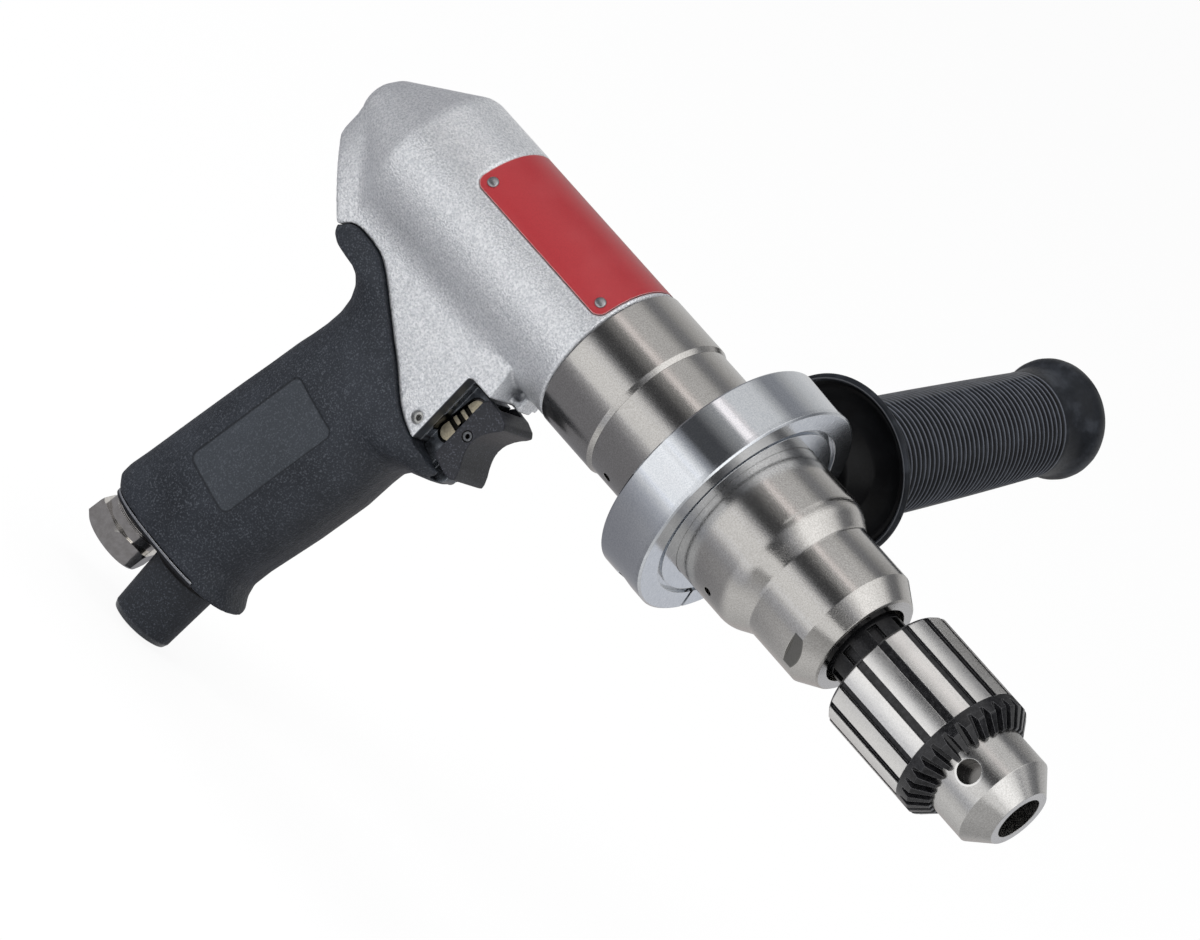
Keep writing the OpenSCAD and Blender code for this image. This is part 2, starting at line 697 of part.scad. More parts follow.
// The window, or with a gap the bar that slides in it
module window_shape(gap, width) {
    half_l = window_h / 2 - window_r;
    r = window_r - gap;
    intersection() {
        window_frame() {
            for (end = [-1, 1]) translate([0, 0, end * half_l]) rotate([90, 0, 0])
                cylinder(h = width, r = r, center = true, $fn = FN);
            cube([2 * r, width, 2 * half_l], center = true);
        }
        translate([window_front - gap - 20, -width / 2, window_z - window_h])
            cube([20, width, 2 * window_h]);
    }
}

module reverse_bar() color("darkkhaki") {
    bar_l = 2 * block_w - reverse_travel - 0.3;
    start = -block_w + 0.15;
    slot_gap = 0.25;
    groove_w = 1.4;
    groove_pitch = 2.5;
    groove_deep = 0.9;
    difference() {
        translate([0, start + bar_l / 2, 0]) window_shape(bar_gap, bar_l);
        // Cross slot that lets the valve stem pass at both ends of the travel
        translate([window_x - 10, -stem_r - slot_gap - reverse_travel, valve_z - stem_r - slot_gap])
            cube([20, 2 * stem_r + 2 * slot_gap + reverse_travel, 2 * (stem_r + slot_gap)]);
        pin_notch();
        // Grip grooves across both ends
        for (k = [-1, 0, 1]) for (y = [start, start + bar_l])
            window_frame() translate([0, y, k * groove_pitch])
                cube([20, 2 * groove_deep, groove_w], center = true);
    }
}

module trigger() color("black") {
    front = housing_front - 4.6;
    profile = concat(
        [[trigger_back, valve_z + 9.4], [trigger_back + 1.2, valve_z + 10.8],
         [front - 4, valve_z + 10.5], [front - 1, valve_z + 9.5], [front, valve_z + 8.3],
         [front - 0.6, valve_z + 7.2]],
        [for (i = [1 : 9]) [front - 0.6 - 3.8 * sin(180 * pow(i / 10, 0.93)),
            valve_z + 7.2 - 15.8 * i / 10]],
        [[front - 0.8, valve_z - 9], [front - 0.6, valve_z - 10.2],
         [front - 1.8, valve_z - 11], [front - 4, valve_z - 11],
         [trigger_back + 0.6, valve_z - 9.9], [trigger_back, valve_z - 9.2]]);
    difference() {
        slab(trigger_w) polygon(profile);
        translate([trigger_back - past, -block_w - clear_gap, valve_z - 20])
            cube([block_front + trigger_travel + clear_gap - trigger_back + past,
                2 * (block_w + clear_gap), 40]);
        translate([pin_x, 0, valve_z]) rotate([90, 0, 0])
            cylinder(h = 40, r = pin_r + 0.01, center = true, $fn = 48);
    }
}

module trigger_pin() color("gray") {
    translate([pin_x, 0, valve_z]) rotate([90, 0, 0]) difference() {
        cylinder(h = 2 * trigger_w - 0.4, r = pin_r, center = true, $fn = 48);
        cylinder(h = 50, r = pin_r * 0.5, center = true, $fn = 32);
    }
}

module valve_stem() color("lightgray") {
    head_x = block_base_x - seat_l - 0.4;
    difference() {
        union() {
            rod_x(head_x - 1, block_front + trigger_travel, stem_r, 0, valve_z);
            rod_x(head_x - 2.2, head_x, valve_head_r, 0, valve_z);
        }
        translate([pin_x, 0, valve_z]) rotate([90, 0, 0])
            cylinder(h = 20, r = pin_r + 0.02, center = true, $fn = 48);
    }
}

module valve_seat() color("khaki") {
    difference() {
        rod_x(block_base_x - seat_l, block_base_x - 0.05, chamber_r, 0, valve_z);
        rod_x(block_base_x - 20, block_base_x + 20, stem_r + 0.9, 0, valve_z);
    }
}

// Spring behind the valve head, one unbroken coil of six-sided wire
function coil_point(t, len) = [len * t, spring_r * cos(360 * spring_coils * t),
    spring_r * sin(360 * spring_coils * t)];
module coil(len) {
    rings = 14 * spring_coils;
    sides = 6;
    pts = [for (i = [0 : rings]) let (t = i / rings, a = 360 * spring_coils * t, c = coil_point(t, len))
        for (k = [0 : sides - 1]) let (b = 360 * k / sides)
            [c[0] + spring_wire_r * sin(b), c[1] + spring_wire_r * cos(b) * cos(a),
             c[2] + spring_wire_r * cos(b) * sin(a)]];
    last = rings * sides;
    quads = [for (i = [0 : rings - 1]) for (k = [0 : sides - 1]) let (n = (k + 1) % sides)
        each [[i * sides + k, i * sides + n, (i + 1) * sides + k],
              [i * sides + n, (i + 1) * sides + n, (i + 1) * sides + k]]];
    caps = [for (k = [1 : sides - 2]) each [[0, k + 1, k], [last, last + k, last + k + 1]]];
    polyhedron(points = pts, faces = concat(quads, caps));
}
module valve_spring() color("silver") {
    front = block_base_x - seat_l - 2.6 - spring_wire_r - 0.1;
    back = block_base_x - chamber_l + plug_l + 0.3 + spring_wire_r + 0.1;
    translate([back, 0, valve_z]) coil(front - back);
}

module valve_plug() color("khaki") {
    plug_rear = block_base_x - chamber_l + 0.1;
    rod_x(plug_rear, plug_rear + plug_l, chamber_r, 0, valve_z);
}

module inlet_bushing() color("lightgray") {
    hex_l = 6.2;
    neck_l = 7.2;
    inside_l = 10;
    thread_l = 13;
    neck_groove = 0.35;
    inlet_frame() difference() {
        union() {
            translate([0, 0, -inside_l]) cylinder(h = inside_l + 0.5, r = inlet_neck_r - 1.35, $fn = FN);
            cylinder(h = neck_l, r = inlet_neck_r, $fn = FN);
            translate([0, 0, neck_l]) intersection() {
                rotate(15) cylinder(h = hex_l, r = inlet_af / 2 / cos(30), $fn = 6);
                rotate_extrude($fn = FN) polygon([[0, 0], [inlet_af * 0.55, 0],
                    [inlet_af * 0.575, 0.8], [inlet_af * 0.575, hex_l - 1.2],
                    [inlet_af * 0.5, hex_l], [0, hex_l]]);
            }
        }
        translate([0, 0, neck_l + hex_l - thread_l])
            cylinder(h = thread_l + past, r = inlet_thread_r, $fn = FN);
        translate([0, 0, -inside_l - past]) cylinder(h = 40, r = inlet_thread_r - 0.8, $fn = FN);
        for (z = [1.2, 2.6]) translate([0, 0, z]) rotate_extrude($fn = FN)
            translate([inlet_neck_r - neck_groove, 0]) square([2, 0.7]);
    }
}

module inlet_screen() color("gray") {
    mesh_pitch = 1.6;
    mesh_hole = 1;
    inlet_frame() translate([0, 0, -screen_at - 1]) difference() {
        cylinder(h = 1, r = inlet_thread_r - 0.82, $fn = 48);
        for (i = [-2 : 2]) for (j = [-2 : 2]) if (abs(i) + abs(j) < 4)
            translate([mesh_pitch * i - mesh_hole / 2, mesh_pitch * j - mesh_hole / 2, -1])
                cube([mesh_hole, mesh_hole, 3]);
    }
}

module muffler() color("black") {
    wall = 2;
    end_r = muffler_r - 0.9;
    translate([muffler_x, 0, -grip_z - plate_t + 0.1]) rotate([180, 0, 0]) difference() {
        rotate_extrude($fn = FN) polygon([[0, 0], [muffler_r - 0.4, 0], [muffler_r, 0.5],
            [end_r, muffler_l - 1.6], [end_r - 0.5, muffler_l - 0.4],
            [end_r - 1.6, muffler_l], [0, muffler_l]]);
        translate([0, 0, -past]) cylinder(h = muffler_l - 2, r = end_r - wall, $fn = FN);
        for (i = [0 : 5]) rotate(60 * i) translate([4, 0, 0]) cylinder(h = 60, r = 1.1, $fn = 32);
    }
}

module muffler_felt() color("wheat") {
    translate([muffler_x, 0, -grip_z - plate_t - 2]) rotate([180, 0, 0]) difference() {
        cylinder(h = muffler_l - 5.6, r = muffler_r - 3.0, $fn = FN);
        translate([0, 0, -past]) cylinder(h = muffler_l, r = 2.5, $fn = 48);
    }
}

module rotor() color("gray") {
    slot_w = 2.2;
    slot_deep = 8;
    difference() {
        union() {
            rod_x(cylinder_rear + 0.1, cylinder_front - 0.1, rotor_r);
            rod_x(rear_plate_rear, front_plate_front + 10, rotor_shaft_r);
            rod_x(front_plate_front + 9, planet_front - 1, stub_r);
        }
        for (i = [0 : vane_count - 1]) rotate([i * 360 / vane_count, 0, 0])
            translate([cylinder_rear - past, rotor_r - slot_deep, -slot_w / 2])
                cube([cylinder_l + 2 * past, slot_deep + 5, slot_w]);
    }
}

module rotor_vanes() color("sienna") {
    vane_t = 2.1;
    vane_h = 7.6;
    for (i = [0 : vane_count - 1]) rotate([i * 360 / vane_count, 0, 0])
        translate([cylinder_rear + 0.2, rotor_r - vane_h - 0.2, -vane_t / 2])
            cube([cylinder_l - 0.4, vane_h, vane_t]);
}

module sun_pinion() color("slategray") {
    translate([planet_rear - 2.5, 0, 0]) rotate([90, 0, 90])
        linear_extrude(height = planet_w + 2.3) difference() {
            polygon(gear_points(sun_n, gear_module * (sun_n / 2 + 0.85),
                gear_module * (sun_n / 2 - 1.1), 0.12, 0.29));
            circle(r = stub_r + 0.01, $fn = FN);
        }
}

module planet_gear(i) {
    rotate([i * 120, 0, 0]) translate([planet_rear, orbit_r, 0]) rotate([90, 0, 90])
        linear_extrude(height = planet_w) difference() {
            polygon(gear_points(planet_n, gear_module * (planet_n / 2 + 0.85),
                gear_module * (planet_n / 2 - 1.1), 0.11, 0.30));
            circle(r = planet_pin_r + run_gap, $fn = FN);
        }
}
module planet_gear_1() color("slategray") planet_gear(0);
module planet_gear_2() color("slategray") planet_gear(1);
module planet_gear_3() color("slategray") planet_gear(2);

module planet_pins() color("lightgray") {
    for (i = [0 : 2]) rotate([i * 120, 0, 0])
        rod_x(planet_rear - 0.6, carrier_front - 1, planet_pin_r, orbit_r, 0);
}

module spindle() color("gray") {
    sun_room_r = 4.6;
    difference() {
        turned([[0, planet_front + 0.4], [carrier_r, planet_front + 0.4],
            [carrier_r, carrier_front], [10.5, carrier_front], [10.5, front_case_rear + 1.6],
            [shaft_r, front_case_rear + 1.6], [shaft_r, nose_front - 4], [spindle_neck_r, nose_front - 4],
            [spindle_neck_r, sleeve_rear - 0.1], [chuck_thread_r - 0.05, sleeve_rear - 0.1],
            [chuck_thread_r - 0.05, sleeve_rear + chuck_thread_l - 1.5],
            [0, sleeve_rear + chuck_thread_l - 1.5]]);
        for (i = [0 : 2]) rotate([i * 120, 0, 0])
            rod_x(planet_front - 4, carrier_front - 0.9, planet_pin_r + 0.01, orbit_r, 0);
        rod_x(planet_front - 4, planet_front + 2.4, sun_room_r);
    }
}

module spindle_collar() color("black") {
    r = 10.9;
    notches = 8;
    difference() {
        tube_x(nose_front - 3.9, sleeve_rear - 0.15, r, spindle_neck_r + seat_gap);
        for (i = [0 : notches - 1]) rotate([i * 360 / notches + 10, 0, 0])
            translate([nose_front + 0.8, r - 1.5, -1.5]) cube([20, 5, 3]);
        tube_x(sleeve_rear - 1.6, sleeve_rear + 2, 20, r - 1);
    }
}

module jaw_place(a) {
    rotate([a, 0, 0]) translate([0, jaw_start_r, 0]) rotate([0, 0, -jaw_tilt]) children();
}

module chuck_body() color("lightgray") {
    difference() {
        turned([[0, 0], [chuck_face_r, 0], [chuck_nose_r, -chuck_cone_l],
            [chuck_nose_r, nut_front + 0.3], [groove_r, nut_front + 0.3],
            [groove_r, nut_rear - 0.4], [body_waist_r, nut_rear - 0.4],
            [body_waist_r, sleeve_rear + rear_land_l + 0.3],
            [rear_land_r, sleeve_rear + rear_land_l + 0.3], [rear_land_r, sleeve_rear + 0.2],
            [0, sleeve_rear + 0.2]]);
        rod_x(-6.5, past, chuck_bore_r);
        rod_x(-34, -6.4, chuck_bore_r + 0.4);
        rod_x(sleeve_rear - past, sleeve_rear + chuck_thread_l, chuck_thread_r);
        for (a = jaw_angles) jaw_place(a)
            translate([-47.2, 0, 0]) rotate([0, 90, 0])
                cylinder(h = 60, r = jaw_r + 0.08, $fn = FN);
        for (i = [0 : 2]) outward(key_x, jaw_angles[i] - 60)
            translate([0, 0, chuck_nose_r - key_depth]) cylinder(h = 20, r = key_hole_r, $fn = 64);
    }
}

module chuck_jaw(i) {
    a = jaw_angles[i];
    far = 30;
    split = 0.3;
    jaw_place(a) translate([-jaw_back, 0, 0]) rotate([0, 0, jaw_tilt])
        translate([0, -jaw_start_r, 0]) intersection() {
            translate([0, jaw_start_r, 0]) rotate([0, 0, -jaw_tilt]) translate([-jaw_l, 0, 0])
                rotate([0, 90, 0]) cylinder(h = jaw_l + 3, r = jaw_r, $fn = 64);
            // Ground faces that meet the other two jaws, and the square front
            translate([-100, 0, 0]) rotate([90, 0, 90]) linear_extrude(height = 100 + jaw_front)
                polygon([[split, 0], [far, (far - split) * tan(60)], [far, (split - far) * tan(60)]]);
        }
}
module chuck_jaw_1() color("gray") chuck_jaw(0);
module chuck_jaw_2() color("gray") chuck_jaw(1);
module chuck_jaw_3() color("gray") chuck_jaw(2);

module chuck_sleeve() color("dimgray") {
    land_r = chuck_sleeve_r;
    flute_deep = 0.9;
    flute_w = 2.3;
    bevel_back = sleeve_front - bevel_depth;
    difference() {
        turned([
            [rear_land_r + run_gap, sleeve_rear], [land_r - 0.8, sleeve_rear],
            [land_r, sleeve_rear + 0.9], [land_r, bevel_back - 0.1],
            [land_r - 0.3, bevel_back + 0.3], [bevel_in_r + 0.6, sleeve_front],
            [chuck_nose_r + run_gap, sleeve_front], [chuck_nose_r + run_gap, nut_front + 0.1],
            [nut_r + seat_gap, nut_front + 0.1], [nut_r + seat_gap, nut_rear],
            [rear_land_r + run_gap, nut_rear - 0.1]]);
        for (i = [0 : sleeve_flutes - 1]) rotate([112.5 + i * 360 / sleeve_flutes, 0, 0])
            translate([sleeve_rear + 0.5, land_r - flute_deep, -flute_w / 2])
                cube([chuck_sleeve_l - bevel_depth - flute_stop - 0.5, 5, flute_w]);
        for (i = [0 : sleeve_teeth - 1]) rotate([i * 360 / sleeve_teeth, 0, 0])
            tooth_cut(bevel_back, land_r);
    }
}

// One slot between bevel teeth, cut along the slope of the bevel and wider at its mouth
module tooth_cut(back, r) {
    lean = atan2(r - bevel_in_r - 0.9, bevel_depth - 0.3);
    deep = 1.9;
    above = 2;
    foot_w = 0.9;
    mouth_w = 2.1;
    top_w = foot_w + (mouth_w - foot_w) * (deep + above) / deep;
    translate([back + 0.3, r - 0.3, 0]) rotate([0, 0, -lean])
        translate([-3, 0, 0]) rotate([90, 0, 90]) linear_extrude(height = 12)
            polygon([[-deep, -foot_w / 2], [above, -top_w / 2], [above, top_w / 2], [-deep, foot_w / 2]]);
}

// The inner cone of the nut follows the backs of the jaws
function jaw_out(x) = jaw_start_r - x * tan(jaw_tilt) + (jaw_r + 0.25) / cos(jaw_tilt);
module chuck_nut() color("gray") {
    turned([[jaw_out(nut_rear), nut_rear], [nut_r, nut_rear], [nut_r, nut_front],
        [jaw_out(nut_front), nut_front]]);
}

// The clamp ring and its handle are drawn with the handle along +Y, then swung up
module handle_frame() {
    rotate([handle_angle, 0, 0]) children();
}

module clamp_ring() color("silver") {
    groove_out = 28.3;
    groove_in = 26.9;
    groove_deep = 1.2;
    split_w = 1.2;
    handle_frame() difference() {
        turned([[nose_r + run_gap, ring_rear], [ring_r - 0.5, ring_rear], [ring_r, ring_rear + 0.5],
            [ring_r, ring_front - 0.5], [ring_r - 0.5, ring_front], [groove_out, ring_front],
            [groove_out, ring_front - groove_deep], [groove_in, ring_front - groove_deep],
            [groove_in, ring_front], [nose_r + run_gap, ring_front]]);
        // Split a quarter turn below the handle
        translate([ring_rear - past, -split_w / 2, -60]) cube([ring_w + 2 * past, split_w, 60]);
        // Clamp screw: clearance, head pocket, thread
        clamp_screw_place() translate([0, 0, -40]) cylinder(h = 60, r = 1.95, $fn = 48);
        clamp_screw_place() translate([0, 0, 5]) cylinder(h = 40, r = 3.3, $fn = 48);
        // Thread for the handle stud
        translate([ring_mid, 0, 0]) rotate([-90, 0, 0]) cylinder(h = 60, r = 5 + seat_gap, $fn = FN);
    }
}

module clamp_screw_place() {
    translate([ring_mid, 0, -28.4]) rotate([90, 0, 0]) children();
}

module clamp_screw() color("dimgray") {
    handle_frame() clamp_screw_place() difference() {
        union() {
            translate([0, 0, -9]) cylinder(h = 16, r = 1.9, $fn = 48);
            translate([0, 0, 5.05]) cylinder(h = 3.6, r = 3.2, $fn = 48);
        }
        translate([0, 0, 6.6]) cylinder(h = 5, r = 1.45, $fn = 6);
    }
}

module handle_stud() color("lightgray") {
    handle_frame() translate([ring_mid, 0, 0]) rotate([-90, 0, 0]) {
        translate([0, 0, nose_r + 1]) cylinder(h = flange_at - nose_r + 30, r = 5, $fn = FN);
    }
}

module handle_insert() color("khaki") {
    handle_frame() translate([ring_mid, 0, 0]) rotate([-90, 0, 0]) difference() {
        translate([0, 0, ring_r + 0.3]) cylinder(h = flange_at - ring_r + 31, r = 8, $fn = FN);
        translate([0, 0, ring_r - past]) cylinder(h = 60, r = 5 + seat_gap, $fn = FN);
    }
}

// Handle: dished flange, ribbed grip and end bulb, turned about its own axis
module handle_grip() color("black") {
    rib_from = 6.5;
    rib_to = handle_l - 19;
    pitch = (rib_to - rib_from) / handle_ribs;
    rib_h = 0.55;
    ribs = [for (i = [0 : handle_ribs - 1])
        let (s = rib_from + pitch * i,
             r = handle_r - (handle_r - handle_end_r) * pow(s / rib_to, 1.7))
        each [[r - rib_h, s], [r, s + 0.3 * pitch], [r, s + 0.7 * pitch],
              [r - rib_h, s + 0.98 * pitch]]];
    bulb_c = handle_l - 7;
    handle_frame() translate([ring_mid, 0, 0]) rotate([-90, 0, 0]) translate([0, 0, flange_at])
        rotate_extrude($fn = FN) polygon(concat(
            [[8 + seat_gap, -8.4], [11, -8.4], [12.5, 1.2], [flange_r - 2.4, 2.2],
             [flange_r - 1.8, 0.4], [flange_r - 1, 0], [flange_r, 0.8], [flange_r - 0.3, 1.9],
             [flange_r - 1.6, 3], [handle_r + 2.2, 4.4], [handle_r + 0.3, 5.6]],
            ribs,
            [[handle_end_r, rib_to + 1.5], [handle_end_r + 0.4, rib_to + 5.5]],
            deg_arc(bulb_r - 7, bulb_c, 7, -30, 75, 7),
            [[0, handle_l - 0.2], [0, 32], [8 + seat_gap, 32]]));
}

pistol_housing();
grip_sleeve();
base_plate();
label_plate();
label_rivets();
block_set_screw();
motor_cylinder();
rear_end_plate();
front_end_plate();
rear_rotor_bearing();
front_rotor_bearing();
rear_gear_case();
ring_gear();
front_gear_case();
nose_housing();
rear_spindle_bearing();
front_spindle_bearing();
bearing_spacer();
spindle_seal();
throttle_block();
valve_seat();
valve_spring();
valve_plug();
inlet_bushing();
inlet_screen();
muffler();
muffler_felt();
rotor();
rotor_vanes();
sun_pinion();
spindle();
planet_pins();
spindle_collar();
chuck_body();
planet_gear_1();
planet_gear_2();
planet_gear_3();
chuck_sleeve();
chuck_nut();
chuck_jaw_1();
chuck_jaw_2();
chuck_jaw_3();
trigger();
trigger_pin();
valve_stem();
reverse_bar();
clamp_ring();
clamp_screw();
handle_stud();
handle_insert();
handle_grip();
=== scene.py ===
"""Looks, camera and studio of the air drill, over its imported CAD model. Sizes are in millimetres."""
import math

import bmesh
import bpy
import numpy as np
from mathutils import Matrix, Vector


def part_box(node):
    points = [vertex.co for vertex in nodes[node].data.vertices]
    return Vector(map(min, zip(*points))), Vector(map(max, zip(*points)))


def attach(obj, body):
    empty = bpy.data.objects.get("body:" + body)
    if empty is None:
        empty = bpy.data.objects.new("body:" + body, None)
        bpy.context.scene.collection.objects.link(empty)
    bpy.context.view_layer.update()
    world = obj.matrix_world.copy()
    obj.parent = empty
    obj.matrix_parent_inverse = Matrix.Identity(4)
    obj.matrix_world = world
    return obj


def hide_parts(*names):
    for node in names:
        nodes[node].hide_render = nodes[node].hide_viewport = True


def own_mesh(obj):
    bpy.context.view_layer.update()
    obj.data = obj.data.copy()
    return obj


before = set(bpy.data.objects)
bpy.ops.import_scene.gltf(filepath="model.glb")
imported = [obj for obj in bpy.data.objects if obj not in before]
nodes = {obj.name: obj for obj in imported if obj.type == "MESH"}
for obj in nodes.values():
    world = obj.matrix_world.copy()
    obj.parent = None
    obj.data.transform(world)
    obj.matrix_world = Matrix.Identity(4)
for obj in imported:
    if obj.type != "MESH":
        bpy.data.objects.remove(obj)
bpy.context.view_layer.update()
scene = bpy.context.scene
MM = 0.001


def box_mm(node):
    """Lowest and highest corner of a CAD node, in millimetres."""
    return [[c / MM for c in corner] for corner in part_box(node)]


# The cast housing: barrel, the cone behind it and the flank below. The rear gear case reaches
# into it by CASE_LAP, and the cone narrows evenly from CONE_START to CONE_FACE_X.
CASE_LAP = 16.5
BARREL_L = 100
HOUSING_FRONT = box_mm("rear_gear_case")[0][0] + CASE_LAP
HOUSING_REAR = HOUSING_FRONT - BARREL_L
BARREL_R = -box_mm("pistol_housing")[0][1]
CONE_FRONT = HOUSING_FRONT - 73.5
CONE_LIP = 0.5
CONE_START = CONE_FRONT - 1.8
CONE_FACE_R = 8.4
CONE_FACE_X = HOUSING_REAR + 3.9
CONE_SLOPE = (BARREL_R - CONE_LIP - CONE_FACE_R) / (CONE_START - CONE_FACE_X)
FLANK_W = 14.0
FLANK_ROUND_L = 23.2
FLANK_ROUND_X = HOUSING_REAR + 0.9 + FLANK_ROUND_L

# The soft valley between barrel and flank, shaped by a ball that rolls along it. The ball starts
# at a share of its radius, has grown after FILLET_GROW_L and grows again towards the tail.
FILLET_FRONT = HOUSING_FRONT - 13.3
FILLET_REAR = HOUSING_REAR + 2.8
FILLET_BALL = 12.0
FILLET_FIRST_SHARE = 0.1
FILLET_GROW_L = 13.0
FILLET_TAIL_X = HOUSING_REAR + 18.3
FILLET_TAIL_GROW = 0.2
FILLET_SINK = 2.5

# Angle that the label plate spans, and its rivets' place on it
PLATE_ANGLE = 134
RIVET_TURN = 8.5
RIVET_EDGE = 1.4
RIVET_R = 1.55
RIVET_H = 0.75

# Pocket for the trigger, throttle block and reverse bar
GRIP_LEAN = 9
POCKET_X = HOUSING_FRONT - 19.3
POCKET_TOP = -27.4
THROTTLE_HALF_W = box_mm("throttle_block")[1][1]
PIN_R = 1.3
PIN_X = box_mm("trigger_pin")[0][0] + PIN_R
PIN_Z = (box_mm("trigger_pin")[0][2] + box_mm("trigger_pin")[1][2]) / 2
TRIGGER_CHEEK_Y = 7.0
WINDOW_X = HOUSING_FRONT - 16.0
WINDOW_Z = PIN_Z + 1.2
WINDOW_R = 2.8
WINDOW_H = 15.1

# Bare badge panel on the grip's near side
BADGE_X = HOUSING_FRONT - 48.1
BADGE_Z = -80.3
BADGE_LEAN = 10.6
BADGE_HALF_L = 18.2
BADGE_HALF_W = 9.4
BADGE_ROUND = 2.2
BADGE_DEPTH = 0.35
GRIP_NEAR_Y = -13
GRIP_FAR_Y = -6

# Underside: base plate, air inlet and muffler
BASE_X = HOUSING_FRONT - 51.4
BASE_Z = -118.5
BASE_LEAN = 1
INLET_X = HOUSING_FRONT - 65.2
INLET_Z = -118.0
INLET_LEAN = 10
THREAD_PITCH = 0.85
THREAD_L = 4.4
MUFFLER_COLLAR_Z = box_mm("muffler")[1][2] - 1.7

# Nose and its two wrench flats
NOSE_FRONT = box_mm("nose_housing")[1][0]
FLAT_TURN = -141
FLAT_R = 18.3
FLAT_HALF_W = 6.2
FLAT_REAR = NOSE_FRONT - 9.0
FLAT_FRONT = NOSE_FRONT - 4.4

# Chuck
SLEEVE_REAR = box_mm("chuck_sleeve")[0][0]
SLEEVE_FRONT = box_mm("chuck_sleeve")[1][0]
SLEEVE_R = box_mm("chuck_sleeve")[1][1]
SLEEVE_EDGE_L = 0.7
SLEEVE_BAND_L = 7.9
CHUCK_NOSE_R = 14.0
CHUCK_BORE_R = 6.4
KEY_HOLE_X = -13.0
KEY_HOLE_R = 3.2
KEY_HOLE_DEPTH = 6.0
KEY_HOLE_REACH = 5.2
KEY_HOLE_TURN = math.radians(174)

# Clamp ring and side handle
RING_FRONT = box_mm("clamp_ring")[1][0]
RING_MID = (box_mm("clamp_ring")[0][0] + RING_FRONT) / 2
RING_FACE = 1.6
HANDLE_TURN = 21.5
HANDLE_L = 102.8
HANDLE_R = 15.9
HANDLE_END_R = 14.3
FLANGE_AT = 43.2
FLANGE_R = 24.1
FLANGE_FACE = 2.3
FLANGE_DISH_R = FLANGE_R - 1.9
FLANGE_LINE_R = FLANGE_R - 1.05
BULB_R = 16.24
BULB_ROUND = 7
RIB_COUNT = 39
RIB_DEPTH = 0.8
RIB_FROM = 6.5
RIB_TO = HANDLE_L - 19
RIB_PITCH = (RIB_TO - RIB_FROM) / RIB_COUNT
MOULD_TURN = math.radians(-46)
MOULD_HALF = 17.0
MOULD_SINK = 0.12


